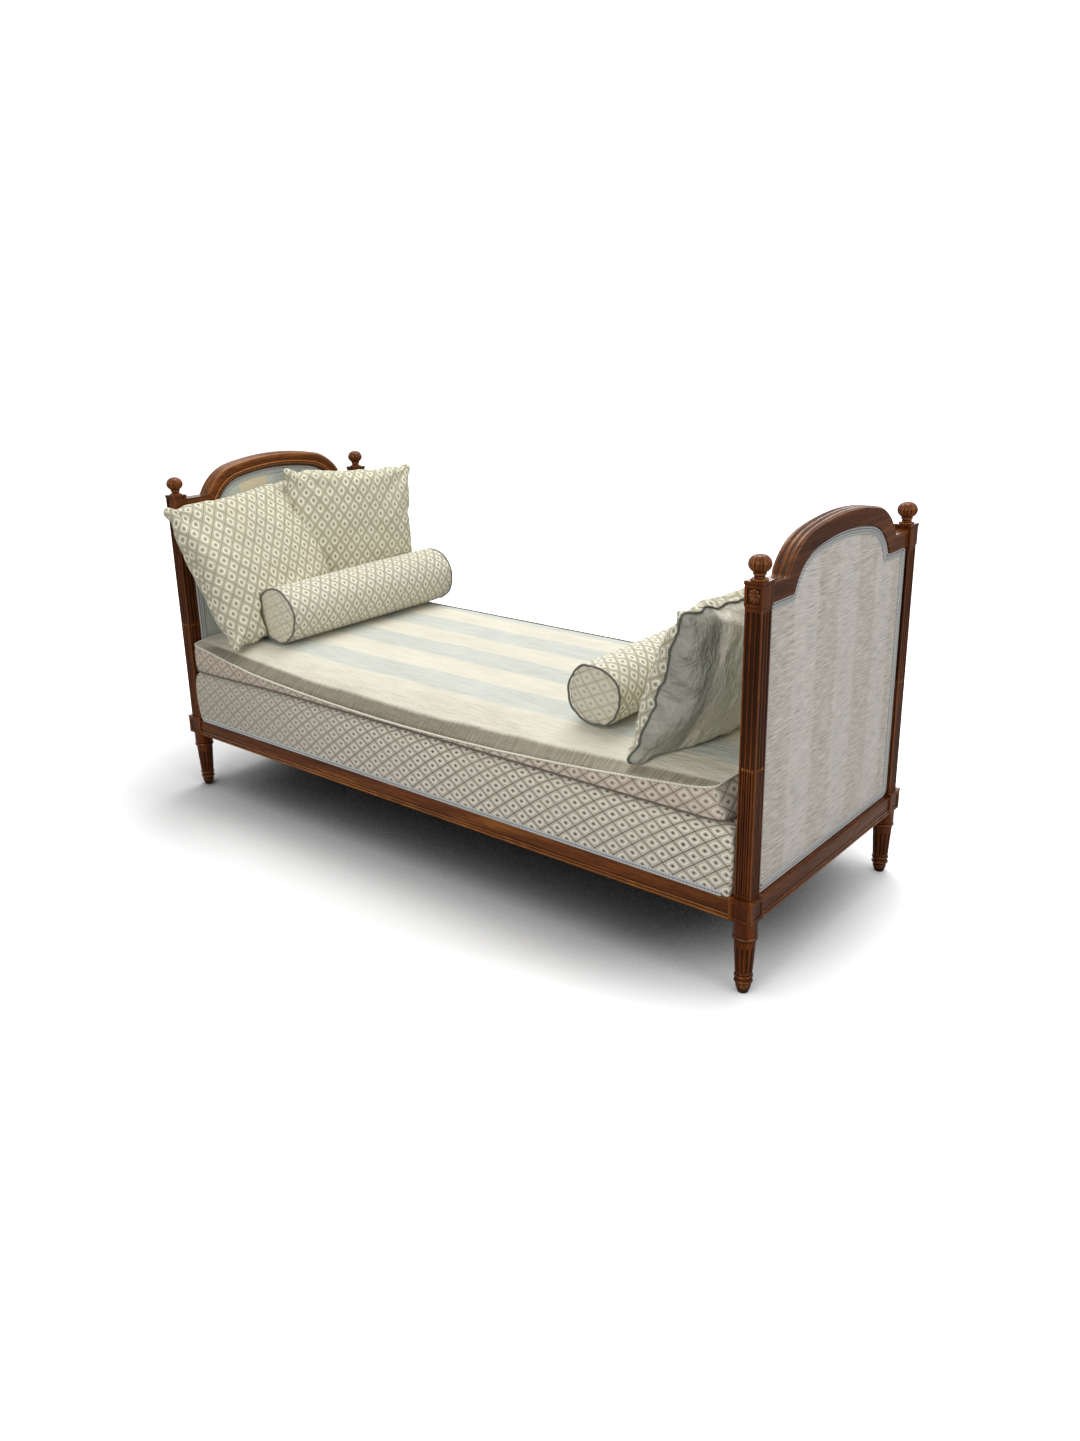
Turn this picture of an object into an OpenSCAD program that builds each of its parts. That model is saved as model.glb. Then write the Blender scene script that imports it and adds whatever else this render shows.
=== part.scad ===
// Recamier: a day bed with two arched ends, a fixed upholstered base, a loose
// piped mattress, two bolsters and three scatter cushions.
// Millimetres, +Z up. The origin is on the floor under the middle of the bed;
// +X runs along the length and +Y to the back.

/* [Frame] */
// Distance between the post centres along the length
post_span_x = 1940; // [1700:10:2200]
// Distance between the post centres across the depth
post_span_y = 714; // [680:2:860]

/* [Posts] */
// Height of the turned foot below the block
foot_h = 178; // [160:1:220]
// Width of the square block that takes the rails
block_w = 55; // [50:0.5:62]
// Height of the block
block_h = 53; // [48:1:66]
// Width of the square fluted shaft
shaft_w = 39; // [36:0.5:42]
// Height of the shaft between block and die
shaft_h = 639; // [600:1:680]
// Width of the die at the top of the post
die_w = 42; // [40:0.5:48]
// Height of the die
die_h = 45; // [38:1:50]
// Height of the cap on the die
cap_h = 7; // [4:0.5:10]
// Flutes on each face of the shaft
flute_count = 3; // [1:1:3]
// Width of one flute
flute_w = 8; // [6:0.5:9]
// Depth of one flute
flute_d = 3.5; // [2:0.1:3.9]
// Height of the cables that fill the flutes from below
cable_h = 296; // [100:1:400]

/* [Feet] */
// Diameter of the tip on the floor
tip_d = 24; // [20:1:30]
// Diameter of the tip at its shoulder
tip_top_d = 34; // [30:1:37]
// Height of the flared tip below its neck
tip_h = 21; // [16:1:24]
// Diameter of the neck above the tip
tip_neck_d = 30; // [24:1:30]
// Distance between the two lower rings
low_ring_gap = 13; // [10:1:16]
// Diameter of the lower rings
low_ring_d = 42; // [39:1:46]
// Diameter at the bottom of the taper
taper_low_d = 38; // [34:1:41]
// Diameter at the top of the taper
taper_top_d = 48; // [44:1:52]
// Height of the upper ring above the floor
top_ring_z = 137; // [124:1:142]
// Height of the plain band over the foot's flutes
foot_band_h = 14; // [8:1:20]
// Diameter of the upper ring
top_ring_d = 56; // [53:1:60]
// Diameter of the collar under the block
collar_d = 53; // [50:1:55]
// Flutes round the foot
foot_flutes = 12; // [8:1:14]
// Width of a flute on the foot
foot_flute_w = 6; // [4:0.5:7]

/* [Finials] */
// Diameter of the flattened ball
ball_d = 47.5; // [40:0.5:50]
// Height of the flattened ball
ball_h = 39; // [36:0.5:40]
// Height of the finial above the post
finial_h = 52; // [50:0.5:60]
// Diameter of the base disc
finial_base_d = 36; // [32:0.5:40]
// Diameter of the ring under the ball
finial_ring_d = 28; // [26:0.5:30]
// Diameter of the neck
finial_neck_d = 23; // [16:0.5:24]
// Diameter of the dowel
dowel_d = 10; // [8:0.5:12]
// Length of the dowel
dowel_l = 22; // [15:1:30]

/* [Rails] */
// Height of the rails
rail_h = 47; // [42:1:47]
// Thickness of the rails
rail_t = 30; // [26:1:34]
// Set-back of the rail faces from the block faces
rail_inset = 4; // [3.5:0.5:6]
// Height of the lower moulding
moulding_h = 13; // [10:1:18]
// Projection of the mouldings
moulding_d = 3; // [1.5:0.5:3.5]
// Length of the rail tenons
tenon_l = 20; // [12:1:22]
// Thickness of the tenons
tenon_t = 12; // [8:1:13]
// Clearance round tenons, dowels and inner pieces
fit_gap = 0.3; // [0.2:0.05:0.4]

/* [Arched ends] */
// Height of the top of the arch above the floor
arch_z = 1008; // [1000:1:1040]
// Half the distance between the centres of the outer haunches
haunch_y = 133; // [125:1:145]
// Radius of the outer haunches
haunch_r = 150; // [140:1:160]
// Drop from the top of the arch to the top of a haunch
crown_drop = 13; // [10:0.5:20]
// Depth of the crest rail at the top of the arch
crest_h = 43; // [38:1:48]
// Half the distance between the centres of the inner haunches
inner_haunch_y = 118; // [108:1:124]
// Radius of the inner haunches
inner_haunch_r = 125; // [115:1:130]
// Drop from the inner crown to the top of an inner haunch
inner_drop = 12; // [9:0.5:18]
// Thickness of the crest rail
crest_t = 40; // [36:1:42]
// Set-back of the crest's outer face from the die's
crest_inset = 6; // [3:0.5:8]
// Height of the shoulders beside the arch
shoulder_h = 39; // [34:1:42]
// Drop from the top of the posts to the top of the shoulders
shoulder_drop = 11.75; // [8:0.25:14]
// Number of reeds along the top edge
reed_count = 3; // [2:1:4]
// Height of the reeds
reed_h = 4; // [2:0.5:5]
// Radius of the bead round the inner face
bead_r = 3.6; // [2.5:0.1:4.5]
// Thickness of the panel board
board_t = 6; // [4:1:8]
// Thickness of the panel padding at its edge
pad_t = 10; // [7:0.5:10.5]
// Extra thickness at the middle of the padding
pad_crown = 5; // [2:0.5:5.5]
// Width of the gimp
gimp_w = 13; // [8:1:18]
// Thickness of the gimp
gimp_t = 2.6; // [1.5:0.1:3]

/* [Upholstered base] */
// Height of the base above the rails
base_h = 171; // [150:1:190]
// Set-back of the base from the rail faces
base_inset = 0.5; // [0:0.1:2]
// Drop of the base at its rim
base_edge = 14; // [8:1:18]
// Thickness of the boxed edge boards
edge_board_t = 18; // [12:1:24]
// Height of the boxed edge boards
edge_board_h = 106; // [80:2:120]
// Number of slats
slat_count = 11; // [6:1:14]
// Width of one slat
slat_w = 62; // [40:1:80]
// Thickness of a slat
slat_t = 12; // [10:1:14]
// Width of the strips that carry the slats
ledger_w = 20; // [16:1:26]

/* [Mattress] */
// Gap between the mattress and the ends
mattress_gap = 6; // [4:0.5:20]
// Overhang of the mattress over the base at front and back
mattress_over = 3; // [0:0.5:4]
// Thickness of the mattress at its middle
mattress_h = 93; // [86:1:120]
// Drop of the top at the back and end seams
seam_drop = 6; // [3:0.5:10]
// Drop of the front seam at the ends
front_drop = 15; // [8:1:18]
// Further drop of the front seam at its lowest point
front_sag = 64; // [0:1:64]
// Width of the rolled front edge
roll_w = 145; // [100:1:200]
// Diameter of the piping
piping_d = 6; // [4:0.5:7]

/* [Bolsters] */
// Diameter of the bolsters
bolster_d = 170; // [150:2:184]
// Length of the bolsters
bolster_l = 664; // [560:2:680]
// Distance from the left posts to the left bolster's axis
bolster_left_x = 298; // [280:2:360]
// Distance from the right posts to the right bolster's axis
bolster_right_x = 460; // [440:2:560]
// Shift of the left bolster to the back
bolster_left_y = 74; // [0:2:76]
// Shift of the right bolster to the back
bolster_right_y = 57; // [0:1:60]
// Crown of the bolster ends
bolster_crown = 9; // [5:1:16]
// Diameter of the bolster piping
bolster_piping_d = 8; // [5:0.5:10]

/* [Scatter cushions] */
// Width of the two left cushions
cushion_w = 440; // [400:2:450]
// Height of the two left cushions
cushion_h = 442; // [410:2:450]
// Thickness of the left cushions at their middle
cushion_t = 150; // [120:2:160]
// Width and height of the right cushion
right_cushion_w = 404; // [360:2:420]
// Thickness of the right cushion at its middle
right_cushion_t = 160; // [120:2:170]
// Share by which the sides are drawn in at their middle
draw_in_share = 0.07; // [0:0.01:0.1]
// Thickness of the cushion covers
cover_t = 3; // [2:0.5:4]
// Distance from the left posts to the middle of the near cushion
near_x = 136; // [130:1:150]
// Place of the near cushion's middle in depth
near_y = -171; // [-175:1:-160]
// Distance from the left posts to the middle of the far cushion
far_x = 155; // [150:1:170]
// Place of the far cushion's middle in depth
far_y = 182; // [172:1:190]
// Distance from the right posts to the middle of the right cushion
right_x = 188; // [182:1:220]
// Place of the right cushion's middle in depth
right_y = -186; // [-190:1:-150]

/* [Hidden] */
$fn = 96;

// Overrun of the cuts
over = 1;

// Post heights and places
block_top = foot_h + block_h;
die_z = block_top + shaft_h;
cap_z = die_z + die_h;
post_top = cap_z + cap_h;
post_x = post_span_x / 2;
post_y = post_span_y / 2;

// Mouldings and sunken panels of the posts
cornice_h = block_h / 18;
cornice_d = cornice_h / 2;
block_border = block_w / 6;
block_sink = block_w / 28;
die_border = die_w / 7;
die_sink = die_w / 20;
cap_d = cap_h / 6;
flute_r = (flute_w * flute_w / 4 + flute_d * flute_d) / (2 * flute_d);
flute_pitch = shaft_w / (flute_count + 0.4);
flute_margin = shaft_w / 3;
cable_r = flute_w * 0.4;
cable_sink = cable_r * 0.9;

// Turned feet
low_ring_r = tip_h / 6;
low_ring_z = tip_h + low_ring_r * 2;
high_ring_z = low_ring_z + low_ring_gap;
top_ring_r = foot_h / 34;
foot_flute_r = foot_flute_w / 2;
taper_low_z = high_ring_z + low_ring_r * 1.5;
taper_top_z = top_ring_z - top_ring_r * 1.5;

// Rails
rail_top = block_top - 2 * cornice_h;
rail_z = rail_top - rail_h;
rail_face_x = post_x + block_w / 2 - rail_inset;
rail_face_y = post_y + block_w / 2 - rail_inset;
rail_in_x = rail_face_x - rail_t;
rail_in_y = rail_face_y - rail_t;
long_rail_l = post_span_x - block_w;
end_rail_l = post_span_y - block_w;
fillet_h = rail_h / 9;
tenon_h = rail_h * 0.7;

// Slats, strips and corner braces
slat_z = rail_top - slat_t;
ledger_h = rail_h * 0.6;
ledger_z = slat_z - ledger_h;
brace_l = rail_h * 1.4;
slat_run = long_rail_l - 2 * brace_l - slat_w;
bolt_d = ledger_h / 4.5;
bolt_in = block_w * 0.42;
bolt_tail = bolt_d / 2;
nut_w = bolt_d * 1.8;
nut_h = bolt_d * 0.9;
dust_t = slat_t / 12;

// Base
base_l = long_rail_l - 2 * fit_gap;
base_w = 2 * (rail_face_y - base_inset);
base_top = rail_top + base_h;
base_bulge = (block_w - shaft_w) / 3.2;
base_wall = base_edge * 0.75;
base_corner = base_edge * 0.7;

// Ends, measured from the middle of the bed
crest_out_x = post_x + die_w / 2 - crest_inset;
crest_in_x = crest_out_x - crest_t;
bead_proud = bead_r * 0.6;
bead_edge = bead_r * 2;
board_in_x = crest_out_x - crest_t / 2 - board_t / 2;
shoulder_top = post_top - shoulder_drop;
shoulder_z = shoulder_top - shoulder_h;
inner_z = arch_z - crest_h;
crest_tenon = die_w / 3;
panel_w = post_span_y - shaft_w - 2 * fit_gap;
panel_top_w = post_span_y - max(die_w, shaft_w) - 2 * fit_gap;
panel_low_w = end_rail_l - 2 * (cornice_d + fit_gap);

// Mattress
mattress_z = base_top + fit_gap;
mattress_top = mattress_z + mattress_h;
mattress_bulge = piping_d;
mattress_l = 2 * (crest_in_x - mattress_gap);
mattress_w = base_w + 2 * mattress_over;
sag_middle = -mattress_l * 0.03;
corner_pull = mattress_h / 9;
core_margin = mattress_h / 5;
core_top = mattress_top - front_drop - piping_d;

// Bolsters and cushions
rest_gap = 2 * fit_gap;
bolster_z = mattress_top + bolster_d / 2 + fit_gap;
seam_t = piping_d * 0.7;
end_limit = crest_in_x - bead_proud - rest_gap;
near_lean = 26;
near_roll = -5;
near_sink = cushion_h / 100;
far_lean = 4;
far_roll = 3.4;
far_yaw = 16;
far_sink = cushion_h / 140;
right_lean = 23;
right_roll = 1;
right_yaw = 10;
right_sink = right_cushion_w / 20;
fine_n = 12;
coarse_n = 8;
cut_sides = 32;
arc_n = 20;

function sq(a) = a * a;
function clamp01(a) = min(1, max(0, a));

// Positions from -1 to 1, closer together near both ends
function spaced(i, n, share) =
  let (s = -1 + 2 * i / n) s + share / PI * sin(180 * s);

// Index pairs once round the edge of a grid
function rim(nx, ny) = concat(
  [for (i = [0 : nx - 1]) [i, 0]],
  [for (j = [0 : ny - 1]) [nx, j]],
  [for (i = [nx : -1 : 1]) [i, ny]],
  [for (j = [ny : -1 : 1]) [0, j]]
);

// Closed form from an upper and a lower grid and rows of points round the side
module grid_solid(nx, ny, rows, share, upper, lower, side) {
  loop = rim(nx, ny);
  m = len(loop);
  n = (nx + 1) * (ny + 1);
  function at(c) = c[0] * (ny + 1) + c[1];
  function edge(row, k) =
    row == 0 ? at(loop[k % m])
    : row == rows + 1 ? n + at(loop[k % m])
    : 2 * n + (row - 1) * m + k % m;
  grid = [for (i = [0 : nx], j = [0 : ny]) [spaced(i, nx, share), spaced(j, ny, share)]];
  points = concat(
    [for (g = grid) upper(g[0], g[1])],
    [for (g = grid) lower(g[0], g[1])],
    [for (row = [1 : 1 : rows], c = loop) let (g = grid[at(c)]) side(g[0], g[1], row / (rows + 1))]
  );
  cells = [for (i = [0 : nx - 1], j = [0 : ny - 1]) [i, j]];
  faces = concat(
    [for (c = cells) [at(c), at(c + [0, 1]), at(c + [1, 1])]],
    [for (c = cells) [at(c), at(c + [1, 1]), at(c + [1, 0])]],
    [for (c = cells) [n + at(c), n + at(c + [1, 1]), n + at(c + [0, 1])]],
    [for (c = cells) [n + at(c), n + at(c + [1, 0]), n + at(c + [1, 1])]],
    [for (row = [0 : rows], k = [0 : m - 1]) [edge(row, k), edge(row, k + 1), edge(row + 1, k + 1)]],
    [for (row = [0 : rows], k = [0 : m - 1]) [edge(row, k), edge(row + 1, k + 1), edge(row + 1, k)]]
  );
  polyhedron(points, faces, convexity = 6);
}

// Tube of hexagonal section round a closed path; ref is never along the path
module closed_tube(path, r, ref) {
  m = len(path);
  sides = 6;
  function unit(a) = a / norm(a);
  points = [
    for (i = [0 : m - 1])
      let (
        t = unit(path[(i + 1) % m] - path[(i + m - 1) % m]),
        a = unit(cross(t, ref)),
        b = cross(a, t)
      )
      for (k = [0 : sides - 1]) path[i] + r * (cos(360 * k / sides) * a + sin(360 * k / sides) * b)
  ];
  function at(i, k) = (i % m) * sides + k % sides;
  faces = concat(
    [for (i = [0 : m - 1], k = [0 : sides - 1]) [at(i, k), at(i, k + 1), at(i + 1, k + 1)]],
    [for (i = [0 : m - 1], k = [0 : sides - 1]) [at(i, k), at(i + 1, k + 1), at(i + 1, k)]]
  );
  polyhedron(points, faces, convexity = 6);
}

// One corner of the frame: children are modelled with -X and -Y outwards
module at_corner(sx, sy) {
  translate([sx * post_x, sy * post_y, 0])
    mirror([sx > 0 ? 1 : 0, 0, 0])
      mirror([0, sy > 0 ? 1 : 0, 0])
        children();
}

module all_corners() {
  for (sx = [-1, 1], sy = [-1, 1]) at_corner(sx, sy) children();
}

// One end of the bed: children are modelled on the left end
module at_end(sx) {
  mirror([sx > 0 ? 1 : 0, 0, 0]) children();
}

// Square prism centred on the Z axis
module column(w, z, h) {
  translate([-w / 2, -w / 2, z]) cube([w, w, h]);
}

// Rounded rod or flute between two heights, centred on the Z axis
module rod(r, z_low, z_high) {
  translate([0, 0, z_low]) sphere(r);
  translate([0, 0, z_low]) cylinder(r = r, h = z_high - z_low);
  translate([0, 0, z_high]) sphere(r);
}

// Children repeated along the faces of the shaft, d outside each face
module flute_places(d) {
  for (turn = [0 : 90 : 270], i = [0 : flute_count - 1])
    rotate([0, 0, turn])
      translate([(i - (flute_count - 1) / 2) * flute_pitch, -shaft_w / 2 - d, 0])
        children();
}

module foot() {
  rotate_extrude()
    polygon([
      [0, 0],
      [tip_d / 2, 0],
      [tip_top_d / 2, tip_h * 0.7],
      [tip_top_d / 2, tip_h * 0.9],
      [tip_neck_d / 2, tip_h],
      [tip_neck_d / 2, low_ring_z - low_ring_r],
      [low_ring_d / 2 - low_ring_r, low_ring_z - low_ring_r],
      [low_ring_d / 2 - low_ring_r, high_ring_z + low_ring_r],
      [taper_low_d / 2, taper_low_z],
      [taper_top_d / 2, taper_top_z],
      [top_ring_d / 2 - top_ring_r, top_ring_z - top_ring_r],
      [top_ring_d / 2 - top_ring_r, top_ring_z + top_ring_r],
      [collar_d / 2, top_ring_z + top_ring_r],
      [collar_d / 2, foot_h],
      [0, foot_h]
    ]);
  for (z = [low_ring_z, high_ring_z])
    rotate_extrude() translate([low_ring_d / 2 - low_ring_r, z]) circle(low_ring_r);
  rotate_extrude() translate([top_ring_d / 2 - top_ring_r, top_ring_z]) circle(top_ring_r);
}

// Tapered flutes follow the slope of the foot
module foot_flute_cuts() {
  slope = (taper_top_d - taper_low_d) / 2 / (taper_top_z - taper_low_z);
  from = taper_low_z + 2 * foot_flute_r;
  to = taper_top_z - foot_band_h - foot_flute_r;
  middle = (from + to) / 2;
  for (k = [0 : foot_flutes - 1])
    rotate([0, 0, (k + 0.5) * 360 / foot_flutes])
      translate([taper_low_d / 2 + (middle - taper_low_z) * slope + foot_flute_r * 0.3, 0, middle])
        rotate([0, atan(slope), 0])
          rod(foot_flute_r, from - middle, to - middle);
}

// Sunken square panel in the outer -Y face of a square member
module sunk_panel(w, border, sink, z, h) {
  translate([-w / 2 + border, -w / 2 - over, z + border])
    cube([w - 2 * border, sink + over, h - 2 * border]);
}

module mortise(from, z, h) {
  translate([from[0], from[1], z])
    cube([tenon_l + fit_gap + over, tenon_t + 2 * fit_gap, h + 2 * fit_gap]);
}

// A post with its foot, block, fluted shaft, die and cap
module post(sx, sy) {
  tenon_in = block_w / 2 - tenon_l - fit_gap;
  tenon_off = -block_w / 2 + rail_inset + rail_t / 2 - tenon_t / 2 - fit_gap;
  tenon_z = rail_z + (rail_h - tenon_h) / 2 - fit_gap;
  crest_in = die_w / 2 - crest_tenon - fit_gap;
  crest_off = -die_w / 2 + crest_inset + crest_t / 2 - tenon_t / 2 - fit_gap;
  color([0.34, 0.16, 0.07]) at_corner(sx, sy) {
    difference() {
      union() {
        foot();
        column(block_w, foot_h, block_h);
        column(block_w + 2 * cornice_d, block_top - cornice_h, cornice_h);
        column(shaft_w, block_top - over, shaft_h + 2 * over);
        column(die_w, die_z, die_h);
        column(die_w + 2 * cap_d, cap_z, cap_h);
      }
      foot_flute_cuts();
      flute_places(flute_r - flute_d)
        rod(flute_r, block_top + flute_margin, die_z - flute_margin);
      sunk_panel(block_w, block_border, block_sink, foot_h, block_h - cornice_h);
      rotate([0, 0, -90]) sunk_panel(block_w, block_border, block_sink, foot_h, block_h - cornice_h);
      sunk_panel(die_w, die_border, die_sink, die_z, die_h);
      mortise([tenon_in, tenon_off], tenon_z, tenon_h);
      mirror([1, -1, 0]) mortise([tenon_in, tenon_off], tenon_z, tenon_h);
      mirror([1, -1, 0])
        mortise([crest_in, crest_off], shoulder_z + shoulder_h / 4 - fit_gap, shoulder_h / 2);
      translate([0, 0, post_top - dowel_l - fit_gap])
        cylinder(d = dowel_d + 2 * fit_gap, h = dowel_l + fit_gap + over);
      corner_axis(-bolt_in - fit_gap) cylinder(d = bolt_d + 2 * fit_gap, h = bolt_in + fit_gap + over);
    }
    flute_places(-cable_sink)
      rod(cable_r, block_top + flute_margin, block_top + cable_h);
  }
}

// Axis of a corner bolt, square to the brace, starting d beyond the block's inner corner
module corner_axis(d) {
  translate([block_w / 2, block_w / 2, ledger_z + ledger_h / 2])
    rotate([0, 90, 45])
      translate([0, 0, d])
        children();
}

module finial(sx, sy) {
  ball_z = finial_h - ball_h / 2;
  neck_z = ball_z - ball_h / 2;
  color([0.38, 0.18, 0.08]) at_corner(sx, sy) translate([0, 0, post_top]) {
    rotate_extrude()
      polygon(concat(
        [
          [0, -dowel_l],
          [dowel_d / 2, -dowel_l],
          [dowel_d / 2, 0],
          [finial_base_d / 2, 0],
          [finial_base_d / 2, neck_z * 0.25],
          [finial_neck_d / 2, neck_z * 0.45],
          [finial_neck_d / 2, neck_z * 0.8],
          [finial_ring_d / 2, neck_z * 0.95]
        ],
        [for (a = [-50 : 10 : 90]) [ball_d / 2 * cos(a), ball_z + ball_h / 2 * sin(a)]]
      ));
  }
}

// Section of a rail: X is the depth behind the outer face, Y the height
module rail_section() {
  bead = moulding_h / 4;
  square([rail_t, rail_h]);
  translate([-moulding_d, 0]) square([moulding_d + over, moulding_h - 2 * bead]);
  translate([0, moulding_h - bead]) circle(bead * 0.9);
  translate([-moulding_d * 0.6, rail_h - fillet_h]) square([moulding_d, fillet_h]);
}

module tenon(place, turn, z, h, l) {
  translate(place) rotate([0, 0, turn])
    translate([-over, -tenon_t / 2, z]) cube([l + over, tenon_t, h]);
}

// Front rail, or the back rail with side = 1
module long_rail(side) {
  color([0.45, 0.24, 0.1]) mirror([0, side > 0 ? 1 : 0, 0]) {
    translate([-long_rail_l / 2, -rail_face_y, rail_z])
      rotate([90, 0, 90]) linear_extrude(long_rail_l) rail_section();
    for (sx = [-1, 1])
      tenon([sx * long_rail_l / 2, -rail_face_y + rail_t / 2, 0], sx > 0 ? 0 : 180,
        rail_z + (rail_h - tenon_h) / 2, tenon_h, tenon_l);
  }
}

module end_rail(sx) {
  color([0.45, 0.24, 0.1]) at_end(sx) {
    translate([-rail_face_x, end_rail_l / 2, rail_z])
      rotate([90, 0, 0]) linear_extrude(end_rail_l) rail_section();
    for (sy = [-1, 1])
      tenon([-rail_face_x + rail_t / 2, sy * end_rail_l / 2, 0], sy * 90,
        rail_z + (rail_h - tenon_h) / 2, tenon_h, tenon_l);
  }
}

// Three-centred arch: the crown arc runs smoothly into the two haunch arcs
function crown_r(hy, r, drop) = (sq(hy) + sq(drop) + 2 * drop * r) / (2 * drop);
function haunch_angle(hy, r, drop) = atan(hy / (crown_r(hy, r, drop) - drop - r));

module arch_2d(hy, r, drop, top, base) {
  crown = crown_r(hy, r, drop);
  turn = haunch_angle(hy, r, drop);
  function on_arc(y, z, radius, a) = [y + radius * cos(a), z + radius * sin(a)];
  polygon(concat(
    [[hy + r, base]],
    [for (k = [0 : arc_n]) on_arc(hy, top - drop - r, r, (90 - turn) * k / arc_n)],
    [for (k = [1 : arc_n - 1]) on_arc(0, top - crown, crown, 90 - turn + 2 * turn * k / arc_n)],
    [for (k = [arc_n : -1 : 0]) on_arc(-hy, top - drop - r, r, 180 - (90 - turn) * k / arc_n)],
    [[-hy - r, base]]
  ));
}

// Outline of an end panel in the Y-Z plane, drawn in by inset on every side
module panel_2d(inset) {
  low = rail_top + inset;
  arch_2d(inner_haunch_y, inner_haunch_r - inset, inner_drop, inner_z - inset, low);
  translate([-panel_w / 2 + inset, block_top + fit_gap])
    square([panel_w - 2 * inset, die_z - block_top - 2 * fit_gap - inset]);
  translate([-panel_top_w / 2 + inset, block_top + fit_gap])
    square([panel_top_w - 2 * inset, shoulder_z - fit_gap - inset - block_top]);
  translate([-panel_low_w / 2 + inset, low])
    square([panel_low_w - 2 * inset, block_top + over - low]);
}

// Section of the reeded crest: X is the radius, Y the thickness
module reeded_section(radius) {
  steps = 6 * reed_count;
  depth = crest_h * 1.4;
  polygon(concat(
    [[radius - depth, 0]],
    [for (k = [0 : steps])
      [radius - reed_h + reed_h * abs(sin(180 * k * reed_count / steps)), crest_t * k / steps]],
    [[radius - depth, crest_t]]
  ));
}

// Reeded arch as three turned sectors: the crown and the two haunches
module reeded_arch(hy, r, drop, top) {
  crown = crown_r(hy, r, drop);
  turn = haunch_angle(hy, r, drop);
  translate([0, top - crown, 0]) rotate([0, 0, 90 - turn])
    rotate_extrude(angle = 2 * turn, $fn = 4 * $fn) reeded_section(crown);
  for (side = [0, 1]) mirror([side, 0, 0]) translate([hy, top - drop - r, 0])
    rotate_extrude(angle = 90 - turn) reeded_section(r);
}

// Stands a shape drawn in the Y-Z plane up on the left end, x0 outside the middle
module on_end(x0) {
  translate([-x0, 0, 0]) rotate([90, 0, 90]) children();
}

// Flat bead along the inner edge of the crest, between two distances from the edge
module bead_2d(near, far) {
  w = post_span_y - die_w;
  intersection() {
    difference() {
      union() {
        arch_2d(inner_haunch_y, inner_haunch_r + far, inner_drop, inner_z + far, rail_top);
        translate([-w / 2, shoulder_z]) square([w, far]);
      }
      arch_2d(inner_haunch_y, inner_haunch_r + near, inner_drop, inner_z + near, rail_top);
      translate([-w / 2, shoulder_z - over]) square([w, near + over]);
    }
    translate([-w / 2, shoulder_z]) square([w, inner_z + far - shoulder_z]);
  }
}

// Crest rail of an end: arch with reeded top, two shoulders, a bead and its tenons
module crest(sx) {
  shoulder_w = post_span_y - die_w;
  color([0.48, 0.25, 0.1]) at_end(sx) difference() {
    union() {
      on_end(crest_out_x) intersection() {
        difference() {
          union() {
            reeded_arch(haunch_y, haunch_r, crown_drop, arch_z);
            translate([-shoulder_w / 2, shoulder_z, 0]) cube([shoulder_w, shoulder_h, crest_t]);
          }
          translate([0, 0, -over]) linear_extrude(crest_t + 2 * over)
            arch_2d(inner_haunch_y, inner_haunch_r, inner_drop, inner_z, rail_top);
        }
        translate([-shoulder_w / 2, shoulder_z, -over])
          cube([shoulder_w, arch_z + over - shoulder_z, crest_t + 2 * over]);
      }
      on_end(crest_in_x + over) linear_extrude(over + bead_proud / 2)
        bead_2d(bead_edge - bead_r, bead_edge + bead_r);
      on_end(crest_in_x + over) linear_extrude(over + bead_proud)
        bead_2d(bead_edge - bead_r * 0.6, bead_edge + bead_r * 0.6);
      for (sy = [-1, 1])
        tenon([-crest_out_x + crest_t / 2, sy * (post_y - die_w / 2), 0], sy * 90,
          shoulder_z + shoulder_h / 4, shoulder_h / 2, crest_tenon);
    }
    for (sy = [-1, 1])
      at_corner(-1, sy) column(die_w + 2 * (cap_d + fit_gap), cap_z - fit_gap, cap_h);
  }
}

module panel_board(sx) {
  color([0.78, 0.66, 0.48]) at_end(sx)
    on_end(board_in_x + board_t) linear_extrude(board_t) panel_2d(fit_gap);
}

// Crowned padding with its cover, held down under the gimp; face = 1 on the inside
module panel_pad(sx, face) {
  half_h = (inner_z - rail_top) / 2;
  function dome_z(u, v) = pad_t + pad_crown * (1 - u * u) * (1 - v * v);
  function pad_point(u, v, z) = [u * panel_w / 2, rail_top + half_h * (1 + v), z];
  color(face > 0 ? [0.86, 0.87, 0.85] : [0.77, 0.74, 0.7]) at_end(sx) at_board(face)
    difference() {
      intersection() {
        linear_extrude(pad_t + pad_crown) panel_2d(2 * fit_gap);
        grid_solid(6, 6, 0, 0,
          function (u, v) pad_point(u, v, dome_z(u, v)),
          function (u, v) pad_point(u, v, -over),
          function (u, v, s) [0, 0, 0]);
      }
      translate([0, 0, pad_t]) linear_extrude(pad_crown) difference() {
        panel_2d(0);
        panel_2d(3 * fit_gap + gimp_w);
      }
    }
}

// Puts Z = 0 on a face of the board, X along the depth and Y up, Z away from the board
module at_board(face) {
  if (face > 0) on_end(board_in_x) children();
  else translate([-board_in_x - board_t, 0, 0]) mirror([1, 0, 0]) rotate([90, 0, 90]) children();
}

// Double cord gimp round a panel, on the edge of the padding
module panel_gimp(sx, face) {
  groove = gimp_w / 8;
  middle = 2 * fit_gap + gimp_w / 2;
  color([0.74, 0.79, 0.8]) at_end(sx) at_board(face) translate([0, 0, pad_t])
    difference() {
      linear_extrude(gimp_t) difference() {
        panel_2d(middle - gimp_w / 2);
        panel_2d(middle + gimp_w / 2);
      }
      translate([0, 0, gimp_t / 2]) linear_extrude(gimp_t) difference() {
        panel_2d(middle - groove / 2);
        panel_2d(middle + groove / 2);
      }
    }
}

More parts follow.
